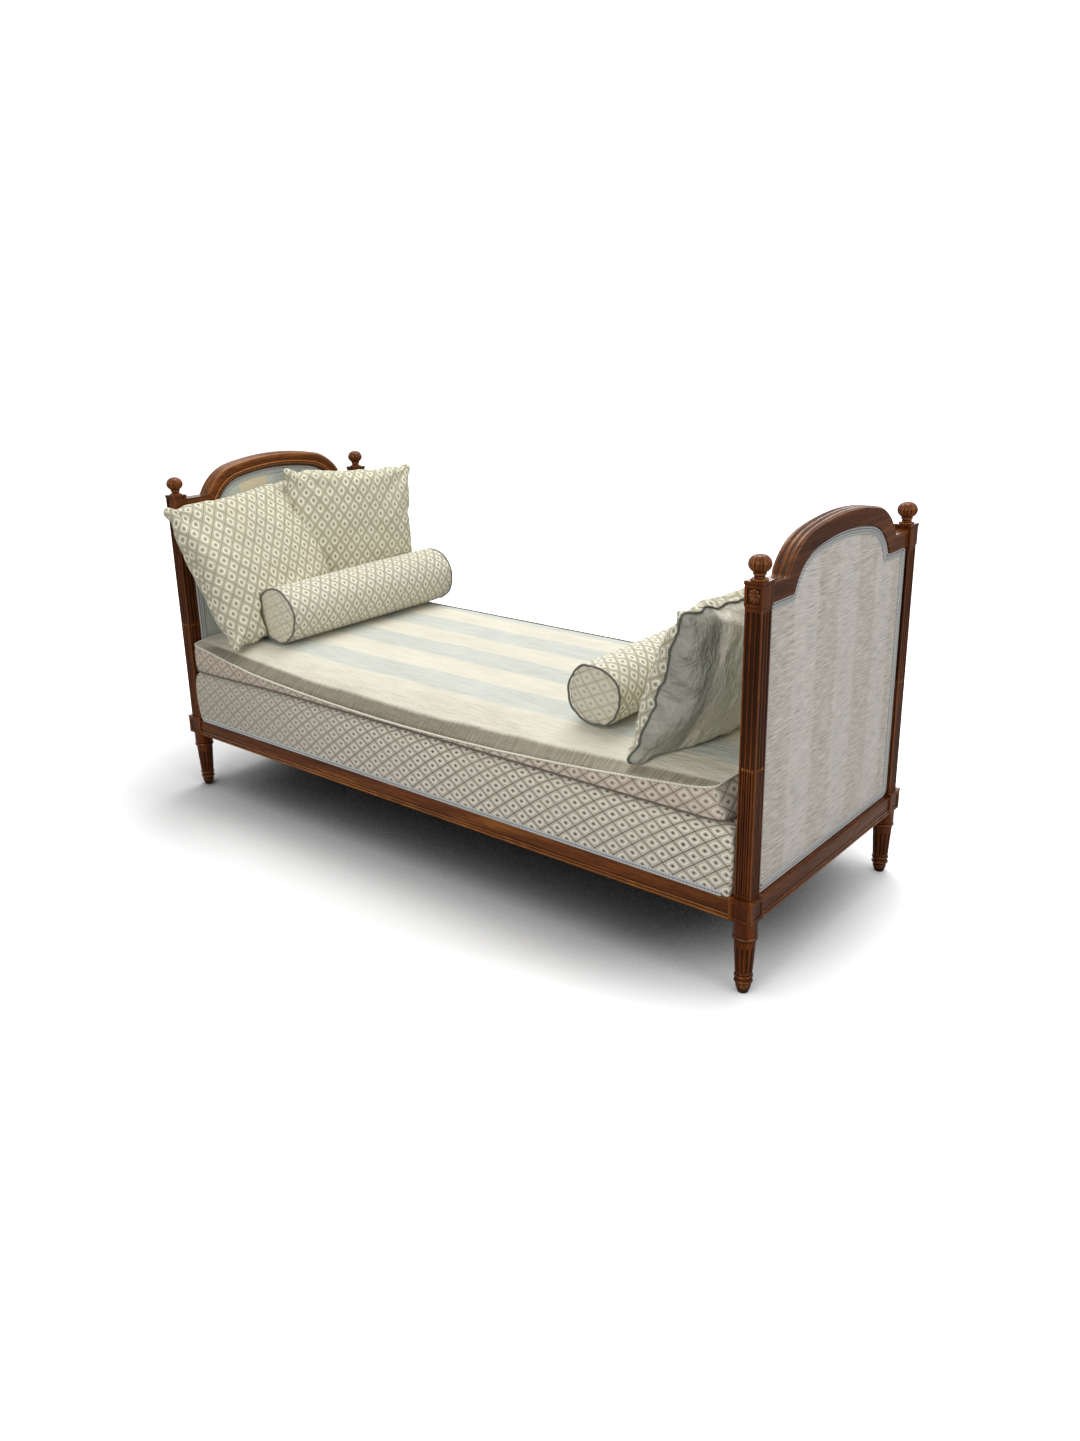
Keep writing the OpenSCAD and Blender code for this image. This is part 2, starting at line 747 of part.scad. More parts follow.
// Triangular braces in the corners of the frame, notched round the blocks
module corner_braces() {
  inner = block_w / 2;
  face = -block_w / 2 + rail_inset + rail_t;
  color([0.6, 0.42, 0.24]) all_corners() difference() {
    translate([0, 0, ledger_z]) linear_extrude(ledger_h)
      polygon([
        [inner, face], [inner + brace_l, face], [face, inner + brace_l], [face, inner], [inner, inner]
      ]);
    corner_axis(-bolt_d) cylinder(d = bolt_d + 2 * fit_gap, h = 2 * brace_l);
  }
}

// Distance from the block's corner to the brace's long face, along a bolt
brace_reach = ((rail_inset + rail_t - block_w) + brace_l) / sqrt(2);

module corner_bolts() {
  color([0.6, 0.6, 0.62]) all_corners()
    corner_axis(-bolt_in) cylinder(d = bolt_d, h = bolt_in + brace_reach + nut_h + bolt_tail);
}

module corner_nuts() {
  color([0.7, 0.66, 0.5]) all_corners() corner_axis(brace_reach) difference() {
    cylinder(d = nut_w, h = nut_h, $fn = 6);
    translate([0, 0, -over]) cylinder(d = bolt_d + fit_gap, h = nut_h + 2 * over);
  }
}

// Strips inside the long rails that carry the slats
module ledgers() {
  l = long_rail_l - 2 * (brace_l + fit_gap);
  color([0.62, 0.45, 0.27]) for (side = [0, 1])
    mirror([0, side, 0]) translate([-l / 2, -rail_in_y, ledger_z]) cube([l, ledger_w, ledger_h]);
}

module slats() {
  l = 2 * (rail_in_y - fit_gap);
  color([0.7, 0.54, 0.34]) for (i = [0 : slat_count - 1])
    translate([-slat_w / 2 - slat_run / 2 + i * slat_run / (slat_count - 1), -l / 2, slat_z])
      cube([slat_w, l, slat_t]);
}

module edge_boards() {
  l = base_l - 2 * (base_wall + fit_gap);
  w = base_w - 2 * (base_wall + fit_gap);
  color([0.66, 0.48, 0.3]) translate([0, 0, rail_top]) {
    for (side = [0, 1])
      mirror([0, side, 0]) translate([-l / 2, -w / 2, 0]) cube([l, edge_board_t, edge_board_h]);
    for (side = [0, 1])
      mirror([side, 0, 0]) translate([-l / 2, -w / 2 + edge_board_t, 0])
        cube([edge_board_t, w - 2 * edge_board_t, edge_board_h]);
  }
}

// Cloth under the seat, between the rails and round the blocks
module dust_cover() {
  l = 2 * (rail_in_x - fit_gap);
  w = 2 * (rail_in_y - fit_gap);
  inner_l = long_rail_l - 2 * fit_gap;
  inner_w = end_rail_l - 2 * fit_gap;
  color([0.16, 0.16, 0.17]) translate([0, 0, ledger_z - dust_t]) {
    translate([-l / 2, -inner_w / 2, 0]) cube([l, inner_w, dust_t]);
    translate([-inner_l / 2, -w / 2, 0]) cube([inner_l, w, dust_t]);
  }
}

// Foam of the base: a block between the boards and a layer over them
module base_foam() {
  l = base_l - 2 * (base_wall + fit_gap);
  w = base_w - 2 * (base_wall + fit_gap);
  step = edge_board_t + fit_gap;
  high = base_h - base_edge - base_wall - fit_gap;
  color([0.93, 0.88, 0.66]) translate([0, 0, rail_top]) {
    translate([-l / 2 + step, -w / 2 + step, 0]) cube([l - 2 * step, w - 2 * step, high]);
    translate([-l / 2, -w / 2, edge_board_h]) cube([l, w, high - edge_board_h]);
  }
}

// Base cover: crowned top, ends that swell between the posts, open below
function base_point(u, v, z, swell) = [
  u * (base_l / 2 - base_corner * pow(abs(v), 30)) + sign(u) * swell * pow(abs(u), 8),
  v * (base_w / 2 - base_corner * pow(abs(u), 60)),
  z
];
function base_rim(u, v) = base_top - base_edge * pow(max(abs(u), abs(v)), 12);

module base_cover() {
  color([0.86, 0.84, 0.77]) difference() {
    grid_solid(16, 6, 2, 0.6,
      function (u, v) base_point(u, v, base_rim(u, v), base_bulge / 2),
      function (u, v) base_point(u, v, rail_top, 0),
      function (u, v, s)
        base_point(u, v, rail_top + (base_rim(u, v) - rail_top) * (1 - s), base_bulge * sin(45 + 135 * s)));
    translate([-base_l / 2 + base_wall, -base_w / 2 + base_wall, rail_top - over])
      cube([base_l - 2 * base_wall, base_w - 2 * base_wall, base_h + over - base_edge - base_wall]);
  }
}

module base_gimp(side) {
  l = base_l - 4 * base_corner;
  groove = gimp_w / 8;
  color([0.74, 0.79, 0.8]) mirror([0, side > 0 ? 1 : 0, 0])
    translate([-l / 2, -base_w / 2 - gimp_t, rail_top]) difference() {
      cube([l, gimp_t, gimp_w]);
      translate([-over, -over, gimp_w / 2 - groove / 2]) cube([l + 2 * over, over + gimp_t / 2, groove]);
    }
}

// Mattress: flat middle, dropped seams and a front edge that rolls over and sags
function front_seam_drop(x) =
  front_drop + front_sag * max(0, 1 - sq((x - sag_middle) / (mattress_l * 0.51)));
function mattress_surface(x, y) =
  mattress_top
  - front_seam_drop(x) * sq(clamp01((roll_w - mattress_w / 2 - y) / roll_w))
  - seam_drop * pow(abs(2 * x / mattress_l), 14)
  - seam_drop * pow(clamp01(2 * y / mattress_w), 14);
function mattress_x(u, v, out) =
  u * (mattress_l / 2 - mattress_bulge - corner_pull * pow(abs(v), 30)) + sign(u) * out * pow(abs(u), 30);
function mattress_y(u, v, out) =
  v * (mattress_w / 2 - corner_pull * pow(abs(u), 60)) + sign(v) * out * pow(abs(v), 30);
function mattress_seam(u, v, out) =
  let (x = mattress_x(u, v, 0), y = mattress_y(u, v, 0))
  [mattress_x(u, v, out), mattress_y(u, v, out), mattress_surface(x, y)];
function mattress_floor(u, v, out) = [mattress_x(u, v, out), mattress_y(u, v, out), mattress_z];

mattress_nx = 22;
mattress_ny = 10;
mattress_share = 0.6;

module mattress_cover() {
  color([0.9, 0.89, 0.83]) difference() {
    grid_solid(mattress_nx, mattress_ny, 2, mattress_share,
      function (u, v) mattress_seam(u, v, 0),
      function (u, v) mattress_floor(u, v, 0),
      function (u, v, s)
        let (
          high = (mattress_seam(u, v, 0)[2] - mattress_z) / mattress_h,
          bulge = mattress_bulge * high * sin(180 * s) / 2
        )
        mattress_seam(u, v, bulge) * (1 - s) + mattress_floor(u, v, bulge) * s);
    mattress_block(0);
  }
}

// Core of the mattress, or the room for it; its front is cut back under the roll
module mattress_block(gap) {
  l = mattress_l - 2 * (mattress_bulge + core_margin + gap);
  back = mattress_w / 2 - core_margin - gap;
  front = mattress_w / 2 - roll_w * 0.45 - gap;
  low = mattress_z + piping_d + gap;
  translate([-l / 2, 0, 0]) rotate([90, 0, 90]) linear_extrude(l)
    polygon([
      [back, low],
      [back, core_top - gap],
      [-front + roll_w / 2, core_top - gap],
      [-front, mattress_z + 2 * piping_d - gap],
      [-front, low]
    ]);
}

module mattress_core() {
  color([0.94, 0.9, 0.7]) mattress_block(fit_gap);
}

// Piping round the top and the bottom seam of the mattress
module mattress_piping() {
  loop = rim(mattress_nx, mattress_ny);
  grid = [for (c = loop) [
    spaced(c[0], mattress_nx, mattress_share), spaced(c[1], mattress_ny, mattress_share)
  ]];
  out = piping_d / 2 + rest_gap;
  color([0.93, 0.92, 0.86]) {
    closed_tube([for (g = grid) mattress_seam(g[0], g[1], out)], piping_d / 2, [0, 0, 1]);
    closed_tube([for (g = grid) mattress_floor(g[0], g[1], out) + [0, 0, piping_d / 2]],
      piping_d / 2, [0, 0, 1]);
  }
}

// Half section of a bolster, drawn in by inset; piping sits on the flat ring of each end
module bolster_section(inset) {
  r = bolster_d / 2 - inset;
  cap = bolster_d / 2 - bolster_piping_d - fit_gap - inset;
  half = bolster_l / 2 - bolster_crown;
  steps = 6;
  arc = [
    for (k = [0 : steps]) let (a = 90 * k / steps) [cap * cos(a), half - inset + bolster_crown * sin(a)]
  ];
  polygon(concat(
    [[r, -half + inset], [r, half - inset]],
    arc,
    [for (k = [steps : -1 : 0]) [arc[k][0], -arc[k][1]]]
  ));
}

// Places a bolster: its axis along Y, resting on the mattress
module at_bolster(sx) {
  x = sx < 0 ? -post_x + bolster_left_x : post_x - bolster_right_x;
  y = sx < 0 ? bolster_left_y : bolster_right_y;
  translate([x, y, bolster_z]) rotate([90, 0, 0]) children();
}

module bolster_cover(sx) {
  color([0.85, 0.82, 0.72]) at_bolster(sx) difference() {
    rotate_extrude() bolster_section(0);
    rotate_extrude() bolster_section(cover_t);
  }
}

module bolster_insert(sx) {
  color([0.95, 0.94, 0.9]) at_bolster(sx) rotate_extrude() bolster_section(cover_t + fit_gap);
}

module bolster_piping(sx) {
  r = bolster_piping_d / 2;
  color([0.36, 0.36, 0.33]) at_bolster(sx) for (side = [0, 1])
    mirror([0, 0, side]) translate([0, 0, bolster_l / 2 - bolster_crown + r])
      rotate_extrude() translate([bolster_d / 2 - r, 0]) circle(r);
}

// Room that a bolster takes, grown by grow
module bolster_space(sx, grow) {
  r = (bolster_d / 2 + grow) / cos(180 / cut_sides);
  at_bolster(sx) translate([0, 0, -bolster_l / 2 - grow]) linear_extrude(bolster_l + 2 * grow)
    polygon([for (k = [0 : cut_sides - 1]) r * [cos(360 * k / cut_sides), sin(360 * k / cut_sides)]]);
}

// Room below the mattress surface at x, grown by grow
module mattress_space(x, grow) {
  steps = 6;
  front = -mattress_w / 2 - roll_w;
  translate([-post_x, 0, 0]) rotate([90, 0, 90]) linear_extrude(2 * post_x)
    polygon(concat(
      [[front, base_top], [front, mattress_surface(x, -mattress_w / 2) + grow]],
      [for (k = [0 : steps])
        let (y = -mattress_w / 2 + roll_w * k / steps) [y, mattress_surface(x, y) + grow]],
      [[-front, mattress_top + grow], [-front, base_top]]
    ));
}

// Room that the end's woodwork and padding take, grown by grow
module end_space(sx, grow) {
  at_end(sx) translate([-post_x, -post_y * 2, base_top])
    cube([post_x - end_limit + grow, post_y * 4, arch_z]);
}

// Cushion: crown in the middle, thin seam, sides drawn in between the corners
function cushion_point(w, h, t, seam, u, v, face) = [
  w / 2 * u * (1 - draw_in_share * (1 - v * v)),
  face * (seam / 2 + (t - seam) / 2 * sqrt(max(0, (1 - u * u) * (1 - v * v)))),
  h / 2 * v * (1 - draw_in_share * (1 - u * u))
];
cushion_share = 0.8;

module cushion_form(w, h, t, seam, n) {
  grid_solid(n, n, 0, cushion_share,
    function (u, v) cushion_point(w, h, t, seam, u, v, -1),
    function (u, v) cushion_point(w, h, t, seam, u, v, 1),
    function (u, v, s) [0, 0, 0]);
}

// Width, height, thickness, lean, roll and yaw of the near, far and right cushions
cushion_sizes = [
  [cushion_w, cushion_h, cushion_t],
  [cushion_w, cushion_h, cushion_t],
  [right_cushion_w, right_cushion_w, right_cushion_t]
];
cushion_turns = [
  [near_lean, near_roll, 90],
  [far_lean, far_roll, 90 - far_yaw],
  [right_lean, right_roll, -90 - right_yaw]
];
cushion_places = [
  [-post_x + near_x, near_y, near_sink],
  [-post_x + far_x, far_y, far_sink],
  [post_x - right_x, right_y, right_sink]
];

// Height of a cushion's middle above the surface that its lowest corner touches
function cushion_rise(i) =
  let (s = cushion_sizes[i], t = cushion_turns[i])
  (s[1] / 2 * cos(t[1]) + s[0] / 2 * abs(sin(t[1]))) * cos(t[0]);

// Places a cushion: it stands on the mattress and leans back
module at_cushion(i) {
  p = cushion_places[i];
  t = cushion_turns[i];
  translate([p[0], p[1], mattress_top + cushion_rise(i) - p[2]])
    rotate([0, 0, t[2]]) rotate([-t[0], 0, 0]) rotate([0, t[1], 0])
      children();
}

// Whole form of a cushion, grown by grow or shrunk where it is below zero
module cushion_whole(i, grow, n) {
  s = cushion_sizes[i];
  at_cushion(i)
    cushion_form(s[0] + 2 * grow, s[1] + 2 * grow, s[2] + 2 * grow, seam_t + grow, n);
}

// What a cushion leans and rests on
module cushion_neighbours(i, grow) {
  end_space(i == 2 ? 1 : -1, grow);
  mattress_space(cushion_places[i][0] + (i == 2 ? -1 : 1) * cushion_t / 2, grow);
  if (i < 2) bolster_space(-1, grow);
  if (i == 1) cushion_whole(0, grow, fine_n);
}

module cushion_solid(i, inset, n) {
  difference() {
    cushion_whole(i, -inset, n);
    cushion_neighbours(i, rest_gap + inset);
  }
}

module cushion_cover(i) {
  color([0.77, 0.74, 0.62]) difference() {
    cushion_solid(i, 0, fine_n);
    cushion_solid(i, cover_t, coarse_n);
  }
}

module cushion_insert(i) {
  color([0.95, 0.94, 0.9]) cushion_solid(i, cover_t + fit_gap, coarse_n);
}

// Piping round the seam of the right cushion
module cushion_piping() {
  s = cushion_sizes[2];
  out = 2 * (piping_d / 2 + rest_gap);
  loop = rim(fine_n, fine_n);
  grid = [for (c = loop) [spaced(c[0], fine_n, cushion_share), spaced(c[1], fine_n, cushion_share)]];
  color([0.36, 0.36, 0.33]) difference() {
    at_cushion(2) closed_tube(
      [for (g = grid)
        let (p = cushion_point(s[0] + out, s[1] + out, seam_t, seam_t, g[0], g[1], 1)) [p[0], 0, p[2]]],
      piping_d / 2, [0, 1, 0]);
    cushion_neighbours(2, rest_gap);
  }
}

post(-1, -1);  // post_front_left
post(1, -1);  // post_front_right
post(-1, 1);  // post_back_left
post(1, 1);  // post_back_right
finial(-1, -1);  // finial_front_left
finial(1, -1);  // finial_front_right
finial(-1, 1);  // finial_back_left
finial(1, 1);  // finial_back_right
long_rail(-1);  // rail_front
long_rail(1);  // rail_back
end_rail(-1);  // rail_left
end_rail(1);  // rail_right
crest(-1);  // crest_left
crest(1);  // crest_right
panel_board(-1);  // panel_board_left
panel_board(1);  // panel_board_right
panel_pad(-1, 1);  // panel_inside_left
panel_pad(1, 1);  // panel_inside_right
panel_pad(-1, -1);  // panel_outside_left
panel_pad(1, -1);  // panel_outside_right
panel_gimp(-1, 1);  // gimp_inside_left
panel_gimp(1, 1);  // gimp_inside_right
panel_gimp(-1, -1);  // gimp_outside_left
panel_gimp(1, -1);  // gimp_outside_right
corner_braces();
corner_bolts();
corner_nuts();
ledgers();
slats();
edge_boards();
dust_cover();
base_foam();
base_cover();
base_gimp(-1);  // base_gimp_front
base_gimp(1);  // base_gimp_back
mattress_cover();
mattress_core();
mattress_piping();
bolster_cover(-1);  // bolster_left_cover
bolster_insert(-1);  // bolster_left_insert
bolster_piping(-1);  // bolster_left_piping
bolster_cover(1);  // bolster_right_cover
bolster_insert(1);  // bolster_right_insert
bolster_piping(1);  // bolster_right_piping
cushion_cover(0);  // cushion_near_cover
cushion_insert(0);  // cushion_near_insert
cushion_cover(1);  // cushion_far_cover
cushion_insert(1);  // cushion_far_insert
cushion_cover(2);  // cushion_right_cover
cushion_insert(2);  // cushion_right_insert
cushion_piping();  // cushion_right_piping
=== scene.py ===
import math

import bmesh
import bpy
import numpy as np
from mathutils import Matrix, noise, Vector


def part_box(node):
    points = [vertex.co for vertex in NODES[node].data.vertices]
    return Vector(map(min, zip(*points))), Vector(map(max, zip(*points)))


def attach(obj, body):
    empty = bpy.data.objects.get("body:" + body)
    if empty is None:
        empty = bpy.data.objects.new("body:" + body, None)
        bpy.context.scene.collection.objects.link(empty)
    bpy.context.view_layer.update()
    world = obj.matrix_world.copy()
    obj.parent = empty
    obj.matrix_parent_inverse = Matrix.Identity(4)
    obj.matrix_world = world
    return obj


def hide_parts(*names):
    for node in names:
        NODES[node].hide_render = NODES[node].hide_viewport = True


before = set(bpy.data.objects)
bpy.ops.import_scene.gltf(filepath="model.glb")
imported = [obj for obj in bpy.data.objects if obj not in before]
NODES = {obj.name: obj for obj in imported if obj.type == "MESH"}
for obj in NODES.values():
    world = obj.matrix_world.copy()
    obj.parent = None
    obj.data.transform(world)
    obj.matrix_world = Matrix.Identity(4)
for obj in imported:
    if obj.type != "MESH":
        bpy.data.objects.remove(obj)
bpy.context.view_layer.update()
PI = math.pi
MM = 0.001
X_AXIS, Y_AXIS, Z_AXIS = (1, 0, 0), (0, 1, 0), (0, 0, 1)
SIDES = (("left", -1), ("right", 1))
CORNERS = (("front_left", -1, -1), ("front_right", 1, -1), ("back_left", -1, 1), ("back_right", 1, 1))

# Sizes shared with part.scad, in millimetres
POST_X, POST_Y, POST_TOP = 970.0, 357.0, 922.0
DIE_HALF, DIE_MIDDLE, DIE_SUNK = 21.0, 892.5, 2.1
BOARD_OUT, BOARD_IN = 968.0, 962.0
CREST_IN = 945.0
PAD_T, PAD_CROWN = 10.0, 5.0
GIMP_W, GIMP_EDGE = 13.0, 0.8
RAIL_TOP, NOTCH_Z, SHOULDER_Z, TOP_Z = 225.1, 231.3, 871.25, 965.0
PANEL_W, PANEL_LOW_W = 674.4, 656.0
BASE_X, BASE_Y, BASE_TOP = 941.8, 380.0, 396.1
M_L, M_W, M_LOW, M_TOP = 1878.0, 766.0, 396.4, 489.4

# The frame's zero is the middle of the part's box, so Y in part.scad is shifted by this
SHIFT_Y = (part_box("rail_front")[0][1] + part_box("rail_back")[1][1]) / 2 / MM

# A camera fitted to the posts, rails and arches: its turns in degrees, its lens in the photograph's pixels,
# and its place in part.scad's millimetres
PHOTO_W, PHOTO_H = 1080, 1441
AZIMUTH, ELEVATION, ROLL = 39.84, 18.21, -1.26
FOCAL, CENTRE_X, CENTRE_Y = 1166.0, 531.9, 682.5
EYE = (2046.2, -2345.8, 1451.0)
SENSOR = 36.0


# Camera and light

def add_object(name, data):
    obj = bpy.data.objects.new(name, data)
    bpy.context.collection.objects.link(obj)
    return obj


def make_camera():
    """The photograph's view."""
    az, el, roll = (math.radians(a) for a in (AZIMUTH, ELEVATION, ROLL))
    data = bpy.data.cameras.new("camera")
    data.sensor_width, data.lens = SENSOR, FOCAL / PHOTO_H * SENSOR
    data.shift_x = (PHOTO_W / 2 - CENTRE_X) / PHOTO_H
    data.shift_y = (CENTRE_Y - PHOTO_H / 2) / PHOTO_H
    data.clip_end = 60
    cam = add_object("camera", data)
    turn = Matrix.Rotation(az, 4, "Z") @ Matrix.Rotation(PI / 2 - el, 4, "X") @ Matrix.Rotation(roll, 4, "Z")
    cam.matrix_world = Matrix.Translation((Vector(EYE) + Vector((0, SHIFT_Y, 0))) * MM) @ turn
    bpy.context.scene.camera = cam


def area_light(name, place, target, size, power):
    """A soft rectangular lamp that faces a point."""
    data = bpy.data.lights.new(name, "AREA")
    data.shape = "RECTANGLE"
    data.size, data.size_y = size
    data.energy = power
    obj = add_object(name, data)
    obj.location = place
    obj.rotation_euler = (Vector(target) - Vector(place)).to_track_quat("-Z", "Y").to_euler()


# Node trees

class Value:
    """An output in a node tree. Arithmetic on it adds Math nodes; | and & take the larger and the smaller."""

    def __init__(self, tree, socket):
        self.tree, self.socket = tree, socket

    def math(self, op, *others):
        return self.tree.math(op, self, *others)

    __add__ = __radd__ = lambda a, b: a.math("ADD", b)
    __mul__ = __rmul__ = lambda a, b: a.math("MULTIPLY", b)
    __sub__ = lambda a, b: a.math("SUBTRACT", b)
    __rsub__ = lambda a, b: a.tree.math("SUBTRACT", b, a)
    __truediv__ = lambda a, b: a.math("DIVIDE", b)
    __pow__ = lambda a, b: a.math("POWER", b)
    __gt__ = lambda a, b: a.math("GREATER_THAN", b)
    __lt__ = lambda a, b: a.math("LESS_THAN", b)
    __or__ = lambda a, b: a.math("MAXIMUM", b)
    __and__ = lambda a, b: a.math("MINIMUM", b)
    __abs__ = lambda a: a.math("ABSOLUTE")

    def clamped(self):
        """Keeps the last sum or product from 0 to 1."""
        self.socket.node.use_clamp = True
        return self

    def step(self, low, high, out_low=0.0, out_high=1.0):
        """A smooth step as the value goes from low to high."""
        ins = dict(enumerate((self, low, high, out_low, out_high)))
        return self.tree.node("MapRange", ins, interpolation_type="SMOOTHSTEP")

    def line(self, where, half):
        """A soft line where the value passes a number."""
        return abs(self - where).step(half, half * 0.3)


class Tree:
    """Short hand for filling a node tree."""

    def __init__(self, tree):
        self.tree = tree

    def put(self, socket, value):
        """Links a Value to a socket, or sets anything else on the socket itself."""
        if isinstance(value, Value):
            self.tree.links.new(value.socket, socket)
        elif value is not None:
            opaque = socket.type == "RGBA" and len(value) == 3
            socket.default_value = (*value, 1) if opaque else value

    def node(self, kind, ins=(), out=0, **props):
        """Adds a node with its properties and inputs, and gives one of its outputs."""
        node = self.tree.nodes.new("ShaderNode" + kind)
        for key, value in props.items():
            setattr(node, key, value)
        for key, value in dict(ins).items():
            self.put(node.inputs[key], value)
        return Value(self, node.outputs[out])

    def math(self, op, *values):
        return self.node("Math", dict(enumerate(values)), operation=op)


class Mat(Tree):
    """A material on a Principled BSDF. place is the object's own coordinates in metres."""

    def __init__(self, name):
        self.mat = bpy.data.materials.new(name)
        self.mat.use_nodes = True
        super().__init__(self.mat.node_tree)
        self.bsdf = self.tree.nodes["Principled BSDF"]
        coords = self.tree.nodes.new("ShaderNodeTexCoord").outputs
        self.place, self.uv = Value(self, coords["Object"]), Value(self, coords["UV"])

    def mix(self, fac, a, b, blend="MIX"):
        return self.node("Mix", {0: fac, 6: a, 7: b}, 2, data_type="RGBA", blend_type=blend)

    def grey(self, value):
        return self.node("CombineXYZ", {0: value, 1: value, 2: value})

    def shaded(self, colour, value):
        """A colour made darker or lighter."""
        return self.mix(1.0, colour, self.grey(value), "MULTIPLY")

    def xyz(self, vector):
        parts = self.node("SeparateXYZ", {0: vector}).socket.node.outputs
        return [Value(self, part) for part in parts]

    def scaled(self, scale):
        """The object's coordinates, stretched along each axis."""
        return self.node("Mapping", {"Vector": self.place, "Scale": scale})

    def noise(self, vector, scale, detail=2.0, rough=0.5):
        return self.node("TexNoise", {"Vector": vector, "Scale": scale, "Detail": detail, "Roughness": rough})

    def ramp(self, value, stops):
        out = self.node("ValToRGB", {0: value})
        elements = out.socket.node.color_ramp.elements
        while len(elements) < len(stops):
            elements.new(0.5)
        for element, (place, colour) in zip(elements, stops):
            element.position = place
            element.color = (*colour, 1)
        return out

    def bump(self, height, strength, distance, normal=None):
        """Relief of a depth in metres, on top of another."""
        ins = {"Strength": strength, "Distance": distance, "Height": height, "Normal": normal}
        return self.node("Bump", ins)

    def done(self, colour, rough, normal=None, **sockets):
        for key, value in {"Base_Color": colour, "Roughness": rough, "Normal": normal, **sockets}.items():
            self.put(self.bsdf.inputs[key.replace("_", " ")], value)
        return self.mat


def srgb(colour, gain=1.0):
    """A colour read as 0 to 255 on a screen, as the shader's linear numbers."""
    parts = (c / 255 for c in colour)
    return tuple(gain * (c / 12.92 if c <= 0.04045 else ((c + 0.055) / 1.055) ** 2.4) for c in parts)


def stretch(axis, along, across):
    """How dense a noise is along one axis and across it."""
    return [along if k == axis else across for k in range(3)]


# Wood and metal

def sunk_post(x, y, z):
    """Masks of painted shade in the posts' sunken parts, and of their worn arrises with a painted highlight
    on the cable tops.
    """
    dx, dy = abs(abs(x) - POST_X * MM), abs(abs(y) - POST_Y * MM)
    across = dx & dy
    half = 0.0195 + (z < 0.231) * 0.008 + (z > 0.870) * 0.0015
    high = z > 0.178
    square = (half - (dx | dy)).step(0.0004, 0.0022) * z.step(0.229, 0.232, 0.35, 1.0)
    arris_and_highlight = (half - across).step(0.0022, 0.0004) * high
    taper = 0.019 + (z - 0.0462) * 0.0602
    radius = (dx * dx + dy * dy).math("SQRT")
    foot = (taper - radius).step(0.0002, 0.0018) * (z < 0.1160)
    hollow_shade = square * high + foot * (1.0 - high)
    cabled = z.step(0.2325, 0.2360) * z.step(0.5270, 0.5240)
    for place, width in ((0.0032, 0.0019), (0.0079, 0.0020), (0.0150, 0.0016)):
        hollow_shade |= across.line(place, width) * cabled
    # Painted highlight on the rounded tops of the cables
    arris_and_highlight |= z.line(0.5265, 0.0036) * across.step(0.0140, 0.0130) * 1.6
    for ring in (0.0225, 0.0345, 0.0462, 0.1300, 0.1430, 0.1780, 0.2325, 0.8690, 0.9160):
        hollow_shade |= z.line(ring, 0.0016)
    return hollow_shade, arris_and_highlight


def sunk_rail(x, y, z):
    """Masks of painted shade in the crevices of a rail's moulding, and of the lip under them, lighter as wear
    and painted highlight.
    """
    hollow_shade = z.line(0.1909, 0.0016) | z.line(0.2196, 0.0016) | z.line(0.1848, 0.0010)
    # Painted shade in the crevices; the lip below is lightened as wear and painted highlight
    return hollow_shade, z.step(0.1908, 0.1895) * 0.8


def sunk_crest(x, y, z):
    """Masks of painted shade in the crevices between the reeds on top of an arch, and of the reeds, lighter
    as wear and painted highlight.
    """
    out = abs(x)
    hollow_shade = out.line(0.9717, 0.0030) | out.line(0.9583, 0.0030)
    return hollow_shade, (out.line(0.978, 0.004) * 0.8 | out.line(0.965, 0.004)) * 0.7


def walnut(name, axis, tone=1.0, carved=None, red=0.0):
    """Varnished walnut with its grain along one axis, with painted shade in its sunken parts, and lighter
    edges that are wear and painted highlight.
    """
    M = Mat(name)
    streaks = M.scaled(stretch(axis, 1.1, 16.0))
    grain = M.noise(streaks, 4.2, 6, 0.62)
    fine = M.noise(M.scaled(stretch(axis, 9.9, 144.0)), 3.0, 3, 0.6)
    hue = (tone, tone * (1 - red), tone * (1 - 1.6 * red))
    dark, mid, light = (tuple(h * c for h, c in zip(hue, srgb(rgb)))
                        for rgb in ((60, 26, 9), (116, 60, 22), (172, 106, 44)))
    gold = srgb((196, 124, 58), tone)
    figure = grain * 0.62 + M.noise(streaks, 1.6, 3) * 0.38
    colour = M.ramp(figure, ((0.30, dark), (0.50, mid), (0.72, light)))
    colour = M.mix((1.0 - fine.step(0.36, 0.47)) * 0.6, colour, dark)
    if carved:
        hollow_shade, edge = carved(*M.xyz(M.place))
        wear_and_highlight = M.noise(M.place, 22.0, 4, 0.6).step(0.42, 0.74)
        # Lighter edges are wear and painted highlight; the sunken parts get painted shade
        colour = M.mix(edge * (0.25 + wear_and_highlight * 0.5), colour, gold)
        colour = M.mix(hollow_shade * 0.85, colour, srgb((26, 10, 4)))
    else:
        # Without carved masks, pointiness lightens ridges as wear and painted highlight, and gives hollows
        # painted shade
        point = M.node("NewGeometry", out="Pointiness")
        colour = M.mix(point.step(0.505, 0.56) * 0.5, colour, gold)
        colour = M.mix(point.step(0.495, 0.43) * 0.9, colour, srgb((24, 9, 3)))
    return M.done(colour, 0.17 + grain * 0.20, M.bump(fine * 0.6 + grain * 0.4, 0.22, 0.0006),
                  Specular_IOR_Level=0.42, Specular_Tint=(1.0, 0.66, 0.42))


def plain_wood(name, axis, dark, light):
    """Unvarnished softwood with its grain along one axis."""
    M = Mat(name)
    grain = M.noise(M.scaled(stretch(axis, 1.5, 20.0)), 3.0, 5, 0.6)
    colour = M.ramp(grain, ((0.3, srgb(dark)), (0.7, srgb(light))))
    return M.done(colour, 0.55 + grain * 0.2, M.bump(grain, 0.2, 0.0006))


